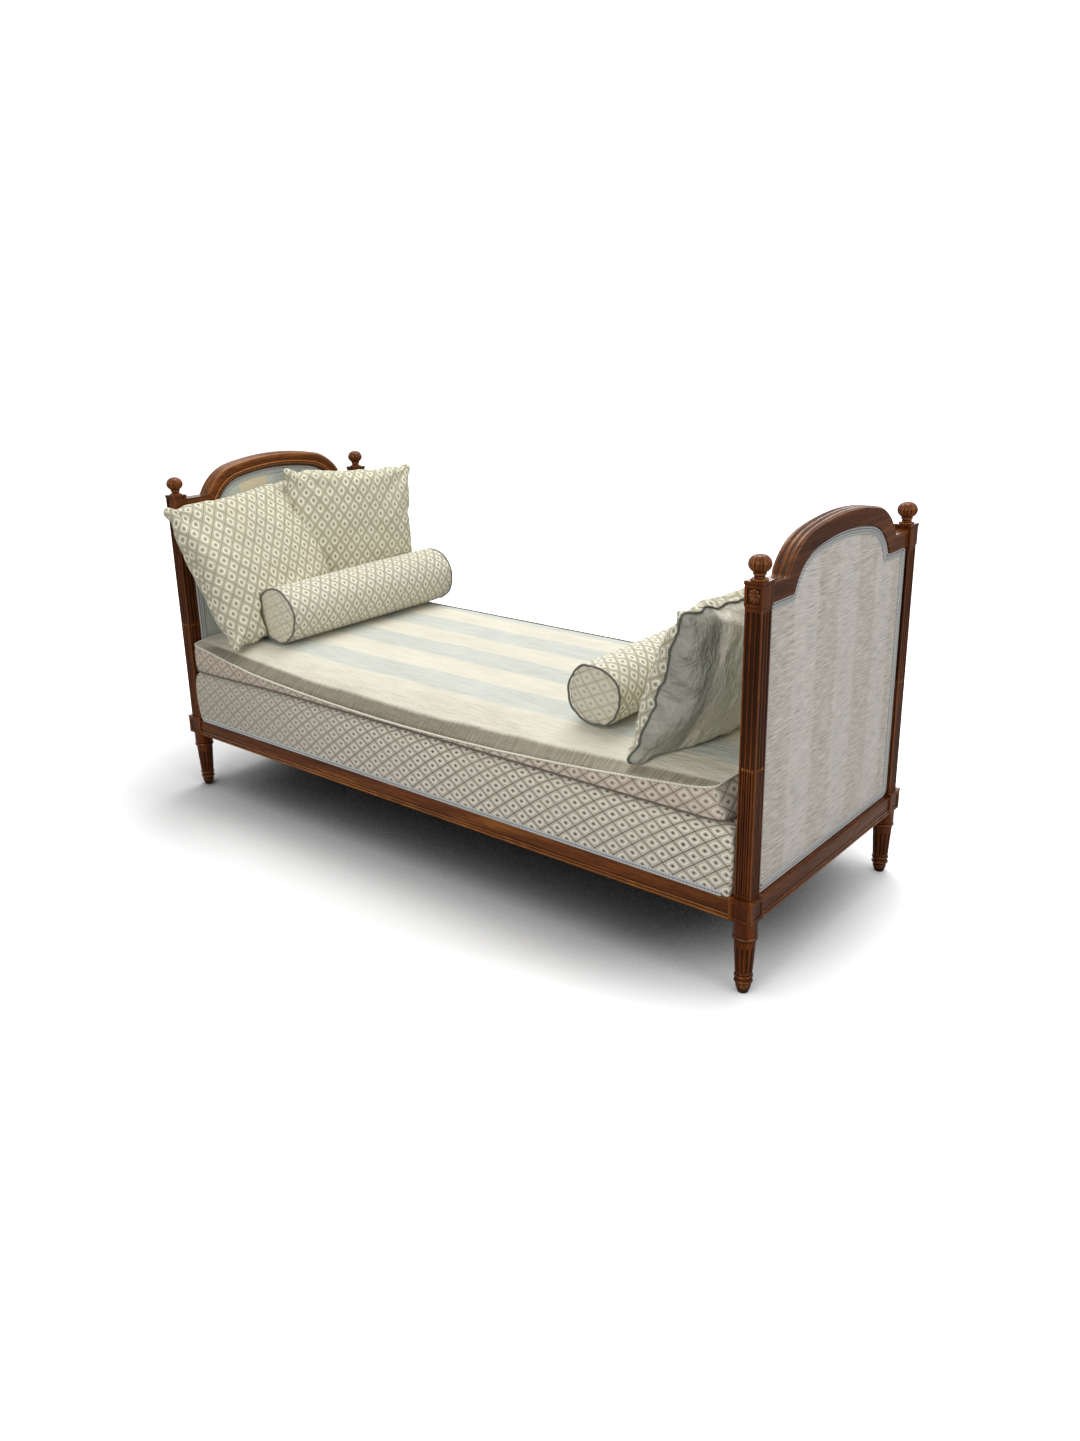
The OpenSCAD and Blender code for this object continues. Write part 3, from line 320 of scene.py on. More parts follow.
def steel(name):
    """Dull steel, drawn along Z."""
    M = Mat(name)
    fine = M.noise(M.scaled((30, 30, 200)), 8.0, 4)
    colour = M.ramp(fine, ((0.3, srgb((120, 118, 112))), (0.7, srgb((176, 174, 168)))))
    return M.done(colour, 0.28 + fine * 0.25, M.bump(fine, 0.1, 0.0003), Metallic=1.0)


# Cloth and cord

def lattice(u, v, long_p, short_p):
    """Masks of a woven diamond: lattice line, ring and dot. u and v are in metres."""
    a0, b0 = u / long_p, v / short_p
    a, b = (abs(turn.math("FRACT") - 0.5) for turn in (a0 + b0, a0 - b0))
    edge = a | b
    soft = edge * 0.6 + (a * a + b * b).math("SQRT") * 0.4
    return edge.step(0.456, 0.476), soft.step(0.175, 0.225) * soft.step(0.345, 0.290), soft.step(0.125, 0.070)


def weave(u, v, pitch):
    """Threads across each other, from 0 to 1."""
    over, under = ((part * (2 * PI / pitch)).math("SINE") for part in (u, v))
    return over * under * 0.5 + 0.5


def diamond(name, ground, ring_c, line_c, dot_c, long_p=0.0539, short_p=0.0394, fade=None, plane=None,
            offset=(0.0, 0.0), crease=0.0, roll=None):
    """Jacquard diamond cloth. plane picks two object axes, or the UV map is used, and roll is the depth where
    a cloth on X and Z turns over an edge. fade: from and to along the bed, the pattern's strength at the
    first, and the tone at each."""
    M = Mat(name)
    axes = M.xyz(M.place if plane else M.uv)
    u, v = (axes[k] for k in plane or (0, 1))
    if roll:
        v += roll - abs(axes[1])
    wobble = (M.noise(M.place, 24.0, 3, 0.6) - 0.5) * 0.0056
    u, v = u - offset[0] + wobble, v - offset[1] + wobble
    line, ring, dot = lattice(u, v, long_p, short_p)
    speck = M.noise(M.place, 520.0, 3, 0.7)
    strength = (0.62 + M.noise(M.place, 9.0, 3) * 0.55).clamped()
    shade = 0.80 + speck * 0.4
    if fade:
        start, end, faint, dim, bright = fade
        x = M.xyz(M.place)[0]
        strength *= x.step(start, end, faint, 1.0)
        # On the bolsters this tone is a painted highlight that lightens the right one
        shade *= x.step(start, end, dim, bright)
    colour = srgb(ground)
    for mask, tint in ((ring, ring_c), (line, line_c), (dot, dot_c)):
        colour = M.mix(mask * strength, colour, srgb(tint))
    normal = M.bump(ring - line * 0.7 + weave(u, v, 0.0016) * 0.35, 0.35, 0.0008)
    normal = M.bump(speck, 0.3, 0.0005, normal)
    if crease:
        normal = M.bump(M.noise(M.scaled((9.0, 9.0, 15.0)), 1.0, 3, 0.55), 0.8, crease, normal)
    return M.done(M.shaded(colour, shade), 0.9, normal,
                  Sheen_Weight=0.08, Sheen_Roughness=0.5, Specular_IOR_Level=0.2)


def stripes(name, axis, bands, base, other, soft, wave, rough=0.7, slub=None, extra=None, crease=0.0):
    """Striped cloth. bands are (from, to) in metres on an object axis, or up the UV map where axis is None.
    slub: the axis of the thick threads, how many to a metre along and across it, their depth and colour."""
    M = Mat(name)
    s = M.xyz(M.uv)[1] if axis is None else M.xyz(M.place)[axis]
    s += (M.noise(M.place, 5.0, 2) - 0.5) * 0.012
    mask = None
    for low, high in bands:
        band = s.step(low - soft, low + soft) * s.step(high + soft, high - soft)
        mask = band if mask is None else mask | band
    blotch = (0.55 + M.noise(M.scaled((3.0, 9.0, 9.0)), 3.0, 4, 0.65) * 0.8).clamped()
    colour = M.mix(mask * blotch, srgb(base), srgb(other))
    if slub:
        thread, few, many, depth, tint = slub
        relief = M.noise(M.scaled(stretch(thread, few, many)), 1.0, 3, 0.62)
        colour = M.mix(relief.step(0.46, 0.66) * depth, colour, srgb(tint))
        colour = M.shaded(colour, relief.step(0.46, 0.30, 1.0, 1.0 - depth * 0.45))
    else:
        relief = M.noise(M.place, 60.0, 3)
    cloud = M.noise(M.scaled((6.0, 15.0, 15.0)), 1.0, 4, 0.6)
    colour = M.shaded(colour, cloud * (wave * 0.28) + (1.0 - wave * 0.14))
    if extra:
        colour = extra(M, colour)
    rib = M.node("TexWave", {"Vector": M.place, "Scale": 90.0, "Distortion": 1.5, "Detail": 1.0}, 1,
                 bands_direction="X")
    normal = M.bump(relief, 0.5, 0.0010)
    normal = M.bump(rib * 0.5 + M.noise(M.place, 800.0, 2, 0.7), 0.25, 0.0004, normal)
    if crease:
        normal = M.bump(M.noise(M.scaled((8.0, 22.0, 10.0)), 1.0, 4, 0.6), 0.9, crease, normal)
    return M.done(colour, rough, normal, Sheen_Weight=0.08, Sheen_Roughness=0.4, Specular_IOR_Level=0.25)


def front_band(M, colour):
    """Darker taupe-grey on the mattress's rolled front edge, streaked across it, faint at the left end and
    lighter towards the right.
    """
    x, y, _ = M.xyz(M.place)
    streak = M.noise(M.scaled((330.0, 14.0, 14.0)), 1.0, 3, 0.6)
    edge = y + (M.noise(M.place, 4.0, 2) - 0.5) * 0.014 + (streak - 0.5) * 0.006
    mask = edge.step(-0.343, -0.355) * x.step(-0.93, -0.84, 0.35, 1.0)
    band = M.ramp(streak, ((0.30, srgb((92, 84, 70))), (0.72, srgb((150, 142, 125)))))
    return M.mix(mask * 0.92, colour, M.shaded(band, x.step(-0.1, 0.85, 1.0, 1.5)))


def cord_mat(name, light, dark, pitch, plies=1.0, rough=0.75):
    """Twisted cord. UV: x runs along it in metres, y goes once round."""
    M = Mat(name)
    u, v, _ = M.xyz(M.uv)
    ply = abs(((u / pitch + v * plies) * PI).math("SINE"))
    fine = M.noise(M.place, 900.0, 2)
    tone = (ply ** 0.6 * 0.85 + fine * 0.2).clamped()
    normal = M.bump(fine, 0.3, 0.0003, M.bump(ply ** 0.5, 0.9, 0.0011))
    return M.done(M.mix(tone, srgb(dark), srgb(light)), rough, normal, Sheen_Weight=0.2)


def cloth_plain(name, colour, vary=0.10, scale=500.0):
    """Plain weave in one colour."""
    M = Mat(name)
    fine = M.noise(M.place, scale, 3, 0.7)
    tone = fine * 0.6 + M.noise(M.place, 9.0, 3) * 0.4
    low, high = srgb(colour, 1 - vary * 2), srgb(colour, 1 + vary)
    u, v, w = M.xyz(M.place)
    normal = M.bump(weave(u + w, v, 0.0014) + fine, 0.3, 0.0004)
    return M.done(M.ramp(tone, ((0.3, low), (0.7, high))), 0.85, normal, Sheen_Weight=0.15)


# Meshes

class Build:
    """Gathers grids of points, in part.scad's millimetres, into one mesh object."""

    def __init__(self):
        self.points, self.faces, self.uvs, self.slots, self.count = [], [], [], [], 0

    def add(self, points, faces, uvs, mat):
        """Adds points, faces as point numbers, and the UV at each face's points."""
        self.points.append(points)
        self.faces += faces.tolist()
        self.uvs.append(uvs.reshape(-1, 2))
        self.slots += [mat] * len(faces)
        self.count += len(points)
        return self

    def grid(self, P, UV=None, wrap_i=False, wrap_j=False, flip=False, mat=0):
        """A net of points, which may close on itself along i or j."""
        ni, nj = P.shape[:2]
        rows, columns = ni - (not wrap_i), nj - (not wrap_j)
        i, j = (k.ravel() for k in np.meshgrid(np.arange(rows), np.arange(columns), indexing="ij"))
        i2, j2 = (i + 1) % ni, (j + 1) % nj
        quads = coords(i * nj + j, i2 * nj + j, i2 * nj + j2, i * nj + j2) + self.count
        if UV is None:
            UV = np.zeros((rows + 1, columns + 1, 2))
        uv = np.stack([UV[i, j], UV[i + 1, j], UV[i + 1, j + 1], UV[i, j + 1]], 1)
        if flip:
            quads, uv = quads[:, ::-1], uv[:, ::-1]
        return self.add(P.reshape(-1, 3), quads, uv, mat)

    def tube(self, path, r, sides=10, closed=True, mat=0, ref=Z_AXIS):
        """A round cord along a path. ref is a direction that the path never follows."""
        ahead = np.roll(path, -1, 0) - np.roll(path, 1, 0)
        if not closed:
            ahead[0], ahead[-1] = path[1] - path[0], path[-1] - path[-2]
        ahead = unit(ahead)
        a = unit(np.cross(ahead, ref))
        b = np.cross(a, ahead)
        turn = ring_angles(sides)[:, None]
        ring = path[:, None] + r * (np.cos(turn) * a[:, None] + np.sin(turn) * b[:, None])
        seg = np.linalg.norm(np.diff(np.vstack([path, path[:1]]), axis=0), axis=1)
        run = np.concatenate([[0], np.cumsum(seg)])[:len(path) + closed] * MM
        first, last = self.count, self.count + sides * (len(path) - 1)
        self.grid(ring, coords(run[:, None], np.arange(sides + 1) / sides), closed, True, mat=mat)
        if not closed:
            self.fan(np.arange(first, first + sides), path[0], mat)
            self.fan(np.arange(last, last + sides)[::-1], path[-1], mat)
        return self

    def fan(self, ring, centre, mat):
        """Closes a ring of points, given by their numbers, with triangles to a middle point."""
        faces = coords(np.roll(ring, -1), ring, self.count)
        return self.add(centre[None], faces, np.zeros((len(ring), 3, 2)), mat)

    def make(self, name, mats, body, slot, replaces=(), merge=0.0, outward=True):
        """The piece on its body. Points nearer than merge become one, and outward turns its faces out."""
        place = np.vstack(self.points) * MM
        place[:, 1] += SHIFT_Y * MM
        me = bpy.data.meshes.new(name)
        me.from_pydata(place.tolist(), [], self.faces)
        me.uv_layers.new(name="cloth").data.foreach_set("uv", np.vstack(self.uvs).ravel())
        me.polygons.foreach_set("material_index", self.slots)
        me.polygons.foreach_set("use_smooth", [True] * len(self.faces))
        for mat in mats:
            me.materials.append(mat)
        if merge or outward:
            bm = bmesh.new()
            bm.from_mesh(me)
            if merge:
                bmesh.ops.remove_doubles(bm, verts=bm.verts, dist=merge * MM)
            if outward:
                bmesh.ops.recalc_face_normals(bm, faces=bm.faces)
            bm.to_mesh(me)
            bm.free()
        me.update()
        obj = add_object(name, me)
        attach(obj, body)
        if replaces:
            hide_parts(*replaces)
        return obj


def paint(node, mat):
    """Gives a CAD node that stays its material."""
    me = NODES[node].data
    me.materials.clear()
    me.materials.append(mat)


def coords(*parts):
    """Points from their coordinates, each an array or one number for all."""
    return np.stack(np.broadcast_arrays(*parts), -1)


def unit(v):
    return v / np.linalg.norm(v, axis=-1, keepdims=True)


def ring_angles(count):
    return np.arange(count) * 2 * PI / count


def rim(G):
    """The outermost points of a grid, once round."""
    return np.concatenate([G[:-1, 0], G[-1, :-1], G[:0:-1, -1], G[0, :0:-1]])


def bell(x, middle, width):
    return np.exp(-((x - middle) / width) ** 2)


def smooth_step(x, a, b):
    t = np.clip((x - a) / (b - a), 0, 1)
    return t * t * (3 - 2 * t)


def fbm(P, scale, octaves=3, seed=0.0):
    """Smooth noise from -1 to 1 at points in millimetres, in an array of any shape."""
    at = P.reshape(-1, 3) / scale + (seed, -seed, 2 * seed)
    return np.reshape([noise.fractal(Vector(p), 1.0, 2.0, octaves) for p in at], P.shape[:-1])


def resample(points, step, closed=True, soften=2):
    """Points a step apart along a line. The corners of a closed one are softened."""
    P = np.asarray(points, float)
    if closed:
        P = np.vstack([P, P[:1]])
    seg = np.linalg.norm(np.diff(P, axis=0), axis=1)
    P, seg = P[np.concatenate([[True], seg > 1e-6])], seg[seg > 1e-6]
    s = np.concatenate([[0], np.cumsum(seg)])
    t = np.linspace(0, s[-1], max(8, int(round(s[-1] / step))) + 1)
    Q = np.stack([np.interp(t, s, part) for part in P.T], 1)
    if closed:
        Q = Q[:-1]
        for _ in range(soften):
            Q = (np.roll(Q, 1, 0) + 2 * Q + np.roll(Q, -1, 0)) / 4
    return Q


class Arch:
    """An arched head in the YZ plane: a wide crown between two narrow haunches, on a level shoulder."""

    def __init__(self, half, haunch, drop, top):
        self.half, self.haunch = half, haunch
        self.crown = (half * half + drop * drop + 2 * drop * haunch) / (2 * drop)
        self.turn = math.atan(half / (self.crown - drop - haunch))
        self.haunch_z, self.crown_z = top - drop - haunch, top - self.crown

    def width(self, z, inset):
        """Half the width at a height, for a line that lies inside the arch by an inset."""
        r, c = self.haunch - inset, self.crown - inset
        if z <= self.haunch_z:
            return self.half + r
        if z <= self.haunch_z + r * math.cos(self.turn):
            return self.half + math.sqrt(max(0.0, r * r - (z - self.haunch_z) ** 2))
        return math.sqrt(max(0.0, c * c - (z - self.crown_z) ** 2))

    def points(self, inset=0.0, n=26, shoulder=SHOULDER_Z):
        """The line from its right foot on the shoulder, or from the haunch's middle, to its left foot."""
        r, c = self.haunch - inset, self.crown - inset
        start = math.asin(min(0.99, (shoulder - inset - self.haunch_z) / r)) if shoulder else 0.0
        pts = [(self.half + r * math.cos(a), self.haunch_z + r * math.sin(a))
               for a in np.linspace(start, PI / 2 - self.turn, n)]
        pts += [(c * math.sin(a), self.crown_z + c * math.cos(a))
                for a in np.linspace(self.turn, -self.turn, n)[1:-1]]
        return pts + [(-y, z) for y, z in pts[:n][::-1]]


OPENING = Arch(118.0, 125.0, 12.0, TOP_Z)
CREST = Arch(133.0, 150.0, 13.0, 1008.0)


def panel_path(inset):
    """Outline of an end panel as (y, z), once round."""
    wide, narrow = PANEL_W / 2 - inset, PANEL_LOW_W / 2 - inset
    right = [(narrow, RAIL_TOP + inset), (narrow, NOTCH_Z + inset),
             (wide, NOTCH_Z + inset), (wide, SHOULDER_Z - inset)]
    return right + OPENING.points(inset) + [(-y, z) for y, z in right[::-1]]


make_camera()

# Finishes

BLUE, CREAM = (199, 202, 194), (221, 217, 198)
PATTERN_AT = (0.557, 0.300)
# Metres a diamond, and how many go round a bolster, so that none is cut
ROLL_REPEAT, ROLL_REPEATS = 0.051, 11

WOODS = {
    "post": walnut("walnut_upright", 2, 0.58, sunk_post, 0.20),
    "turned": walnut("walnut_turned", 2, 0.64, None, 0.16),
    "x": walnut("walnut_long", 0, 0.86, sunk_rail),
    "y": walnut("walnut_cross", 1, 0.76, sunk_rail),
    "arch": walnut("walnut_arch", 1, 0.64, sunk_crest),
    "roll": walnut("walnut_roll", 1, 0.68),
    # The pearls and their fillet are a lighter copy of the walnut, a painted highlight, and the groove behind
    # them is near black, painted shade
    "bead": walnut("walnut_bead_painted_highlight", 1, 1.35),
    "groove": walnut("walnut_groove_painted_shade", 1, 0.16),
}
SOFTWOOD = [plain_wood("softwood_" + "xyz"[k], k, (186, 150, 104), (214, 184, 140)) for k in range(3)]
base_cloth = diamond(
    "diamond_base", (200, 192, 175), (240, 236, 222), (78, 68, 56), (74, 66, 54), plane=(0, 2),
    offset=PATTERN_AT, fade=(-1.05, 0.2, 0.5, 0.82, 1.05), crease=0.004, roll=0.382)
boxing_cloth = diamond(
    "diamond_boxing", (198, 183, 166), (228, 217, 202), (110, 94, 80), (110, 96, 84), plane=(0, 2),
    offset=PATTERN_AT, fade=(-0.9, 0.3, 0.7, 0.9, 1.0), crease=0.012)
end_cloth = diamond(
    "diamond_end", (196, 186, 168), (226, 218, 204), (122, 110, 96), (116, 106, 94), plane=(1, 2))
loose_cloth = diamond(
    "diamond_loose", (194, 189, 164), (240, 238, 221), (146, 141, 116), (138, 133, 110), 0.0470, 0.0350,
    crease=0.018)
# The fade lightens the right bolster 17 per cent, a painted highlight
bolster_cloth = diamond(
    "diamond_bolster", (198, 193, 172), (240, 238, 224), (140, 136, 115), (136, 131, 112),
    ROLL_REPEAT, 0.0375, fade=(0.1, 0.4, 1.0, 1.0, 1.17), crease=0.010)
disc_cloth = diamond(
    "diamond_disc", (212, 206, 184), (224, 220, 200), (166, 161, 138), (172, 167, 145),
    ROLL_REPEAT, 0.0375, fade=(-0.76, -0.6, 0.35, 1.0, 1.0), crease=0.010)
inside_cloth = stripes(
    "cloth_inside", 1, [(-0.141, -0.036)], (188, 193, 182), (214, 200, 167), 0.002, 0.9,
    slub=(1, 14.0, 220.0, 0.3, (206, 209, 198)))
outside_cloth = stripes(
    "cloth_outside", 1, [(-0.222, -0.118), (-0.020, 0.079), (0.175, 0.264)], (206, 198, 186),
    (217, 212, 203), 0.003, 1.0, slub=(1, 24.0, 300.0, 0.72, (236, 232, 224)))
top_cloth = stripes(
    "cloth_stripe", 1, [(0.142, 0.242), (-0.058, 0.042), (-0.268, -0.168), (0.34, 0.40)], CREAM, BLUE,
    0.006, 1.0, 0.75, (0, 12.0, 230.0, 0.30, (230, 228, 214)), front_band, 0.012)
# The satin's lighter band is partly a stripe and partly painted light on the right cushion's back
satin = stripes(
    "cloth_satin", None, [(-0.30, 0.10)], (160, 160, 146), (222, 217, 200), 0.008, 1.0, 0.42, crease=0.034)
under_cloth = cloth_plain("calico", (196, 190, 174))
dust_cloth = cloth_plain("cambric", (66, 64, 62), 0.15, 700.0)
# The dark web between the gimp's cords is painted shade
gimp_web_shade = cloth_plain("gimp_web_shade", (62, 66, 70))
cream_cord = cord_mat("piping_cream", (232, 228, 210), (186, 180, 160), 0.010)
# A darkened cord for the mattress's bottom seam, partly painted shade along that seam
shaded_seam_cord = cord_mat("piping_seam", (112, 100, 86), (62, 54, 46), 0.010, rough=0.8)
dark_cord = cord_mat("piping_dark", (104, 104, 92), (58, 58, 50), 0.008)
gimp_cord = cord_mat("gimp_cord", (204, 205, 203), (138, 141, 143), 0.009, 2.0, 0.6)


# End panels

FACES = {"inside": (BOARD_IN, -1), "outside": (BOARD_OUT, 1)}


def panel_pad(face, side, sx, mat):
    """Stretched cloth over thin padding: pulled down at the gimp, crowned in the middle."""
    board, out = FACES[face]
    inset = 0.7
    wide, narrow = PANEL_W / 2 - inset, PANEL_LOW_W / 2 - inset
    heights = [[NOTCH_Z + 0.05], np.linspace(236, 250, 4), np.linspace(262, SHOULDER_Z - 18, 44),
               np.linspace(SHOULDER_Z - 14, SHOULDER_Z - inset, 4)]
    rows = [(z, narrow) for z in (RAIL_TOP + inset, NOTCH_Z)] + [(z, wide) for z in np.concatenate(heights)]
    start = SHOULDER_Z - inset + 0.05
    for z in start + (TOP_Z - inset - start) * np.sin(np.linspace(0, PI / 2, 22)):
        rows.append((z, max(OPENING.width(z, inset), 0.6)))
    Z, half = (part[:, None] for part in np.array(rows).T)
    Y, Z = np.broadcast_arrays(half * np.sin(np.linspace(-PI / 2, PI / 2, 45)), Z)
    edge = resample(panel_path(inset), 5.0, soften=0)
    d = np.linalg.norm(coords(Y, Z)[:, :, None] - edge, axis=-1).min(-1)
    lift = PAD_T - 0.4 + (PAD_CROWN + 0.8) * (1 - np.exp(-np.maximum(0, d - GIMP_W) / 42.0))
    lift -= 2.2 * bell(d, GIMP_W, 5.0)
    lift += 0.7 * fbm(coords(0, Y, Z * 0.5), 130.0, 2, sx * 3.1 + (out < 0)) * smooth_step(d, 14, 60)
    front, back = coords(sx * (board + out * lift), Y, Z), coords(sx * board, Y, Z)
    B = Build()
    B.grid(front).grid(back, flip=True).grid(np.stack([rim(front), rim(back)], 1), wrap_i=True)
    obj = B.make("cover_%s_%s" % (face, side), [mat], "frame", "panel_cloth_" + face,
                 ["panel_%s_%s" % (face, side)], merge=0.02)
    obj.modifiers.new("normals", "WEIGHTED_NORMAL").weight = 100


def gimp(face, side, sx):
    """Cords round a panel, with a dark web between them that is painted shade."""
    board, out = FACES[face]
    B = Build()
    for share in (0.24, 0.74, 1.22):
        path = resample(panel_path(GIMP_EDGE + GIMP_W * share), 5.0)
        B.tube(coords(sx * (board + out * (PAD_T + 0.6)), *path.T), 3.0, ref=X_AXIS)
    path = resample(panel_path(GIMP_EDGE + GIMP_W / 2), 6.0)
    # The dark web under the cords is painted shade
    B.tube(coords(sx * (board + out * (PAD_T - 0.3)), *path.T), 2.6, 8, mat=1, ref=X_AXIS)
    B.make("cord_%s_%s" % (face, side), [gimp_cord, gimp_web_shade], "frame", "gimp", ["gimp_%s_%s" % (face, side)])


for side, sx in SIDES:
    panel_pad("inside", side, sx, inside_cloth)
    panel_pad("outside", side, sx, outside_cloth)
    gimp("inside", side, sx)
    gimp("outside", side, sx)


# Upholstered base

def base_ring(inset, corner=10.0):
    """Once round the base: a rounded corner, then a side, four times."""
    hx, hy = BASE_X - inset - corner, BASE_Y - inset - corner
    turns = []
    for q, (sx, sy) in enumerate(((1, -1), (1, 1), (-1, 1), (-1, -1))):
        a = (q - 1) * PI / 2 + np.linspace(0, PI / 2, 5)
        turns.append(coords(sx * hx + corner * np.cos(a), sy * hy + corner * np.sin(a)))
    out = []
    for turn, after, parts in zip(turns, turns[1:] + turns[:1], (44, 110, 44, 110)):
        out += [turn, np.linspace(turn[-1], after[0], parts + 1)[1:-1]]
    return np.vstack(out)


def base():
    """Fixed base: swelling sides, a soft rolled top edge, a flat deck of calico, and gimp above the rails."""
    low, top = RAIL_TOP, BASE_TOP
    # Height and inset: up the side, over the roll, in to the middle
    profile = [(low + 0.3, 1.5), (low + 8, -0.3), (low + 30, -2.0), (low + 60, -3.6), (low + 90, -4.2),
               (low + 120, -3.4), (low + 140, -1.2), (low + 150, 1.6), (low + 158, 6.5), (low + 164, 14),
               (low + 168.5, 25), (low + 170.6, 42), (top - 0.3, 70), (top - 0.2, 120), (top - 0.2, 200),
               (top - 0.2, 360)]
    P = np.stack([coords(*base_ring(inset).T, z) for z, inset in profile])
    x, y, z = (P[..., k] for k in range(3))
    soft = fbm(P, 160, 3, 1.7)
    side = (1 - smooth_step(z, top - 22, top - 4)) * smooth_step(z, low + 4, low + 60)
    y += np.sign(y) * 1.2 * soft * side * (np.abs(y) > BASE_Y - 12)
    z -= (2.0 + 1.5 * soft) * smooth_step(z, low + 120, low + 160) * (z < top - 1)
    np.clip(x, -947.0, 947.0, out=x)
    tight = (np.abs(x) > BASE_X) & (z < 232)
    x[tight] = np.sign(x[tight]) * 941.6
    B = Build()
    B.grid(P, wrap_j=True, flip=True)
    B.grid(np.concatenate([P[:1], P[:1] * (0.5, 0.0, 1.0)]), wrap_j=True, mat=2)
    B.grid(np.concatenate([P[-1:], P[-1:] * (1.0, 0.0, 1.0)]), wrap_j=True, flip=True, mat=2)
    obj = B.make("base_cloth", [base_cloth, end_cloth, under_cloth], "frame", "diamond_cloth",
                 ["base_cover", "base_foam"], merge=0.02)
    for poly in obj.data.polygons:
        if abs(poly.normal.x) > 0.75:
            poly.material_index = 1
        elif poly.normal.z > 0.95 and abs(poly.center.y) < 0.335:
            poly.material_index = 2
    for name, sy in (("front", -1), ("back", 1)):
        B = Build()
        along = np.linspace(-922.0, 922.0, 220)
        for up in (3.4, 9.8):
            B.tube(coords(along, sy * 380.6, RAIL_TOP + up), 3.1, closed=False, ref=Y_AXIS)
        along = np.linspace(-922.0, 922.0, 60)
        # The dark web under the cords is painted shade
        B.tube(coords(along, sy * 379.8, RAIL_TOP + 6.6), 2.6, 8, False, 1, Y_AXIS)
        B.make("base_cord_" + name, [gimp_cord, gimp_web_shade], "frame", "gimp", ["base_gimp_" + name])


base()


def under_sheet():
    """Cambric tacked under the seat, cut out round the four blocks."""
    low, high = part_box("dust_cover")
    hx, hy, z = high[0] / MM, (high[1] - low[1]) / 2 / MM, (low[2] + high[2]) / 2 / MM
    ix, iy = BASE_X, 328.8
    B = Build()
    for x0, x1, wide, n in ((-hx, -ix, iy, 4), (-ix, ix, hy, 90), (ix, hx, iy, 4)):
        flat = np.meshgrid(np.linspace(x0, x1, n), np.linspace(-wide, wide, 36), indexing="ij")
        P = coords(*flat, z)
        P[..., 2] += 0.35 * fbm(P, 90.0, 2, 3.0)
        B.grid(P)
    obj = B.make("under_cloth", [dust_cloth], "frame", "dust_cloth", ["dust_cover"], 0.02, outward=False)
    sol = obj.modifiers.new("cloth_t", "SOLIDIFY")
    sol.thickness, sol.offset = 0.0008, 0.0


under_sheet()


# Mattress

def surface(x, y):
    """Top of the mattress: the front edge is sat down, most in the middle."""
    dip = 15 + 64 * np.maximum(0, 1 - ((x + 56.3) / 957.8) ** 2) - 15 * smooth_step(-x, 620, 935)
    z = M_TOP - dip * np.clip((-238 - y) / 145, 0, 1) ** 2
    return z - 6 * np.abs(2 * x / M_L) ** 14 - 6 * np.clip(2 * y / M_W, 0, 1) ** 14


def rim_xy(u, v, drawn):
    """A place on the mattress. Its right front corner is drawn in, as the photograph shows."""
    x, y = u * (M_L / 2 - 4 - 5.0 * np.abs(v) ** 30), v * (M_W / 2 - 7.0 * np.abs(u) ** 60)
    return x - drawn * smooth_step(u, 0.7, 1) * np.clip((-60 - y) / 323, 0, 1), y


def top_dress(x, y, d):
    """Small slack and pulls in the top cloth, never above the made surface. d is the way in from the seam."""
    soft = fbm(coords(x * 0.55, y, 0), 150.0, 3, 4.2)
    fine = fbm(coords(x, y * 0.35, 0), 34.0, 2, 9.1)
    corner = bell(x, -930, 150) * bell(y, -380, 120) + bell(x, 930, 130) * bell(y, -380, 90)
    return -2.2 - 2.0 * soft - (1.4 + 1.6 * fine) * np.exp(-d / 34.0) - 3.0 * corner * np.abs(fine)


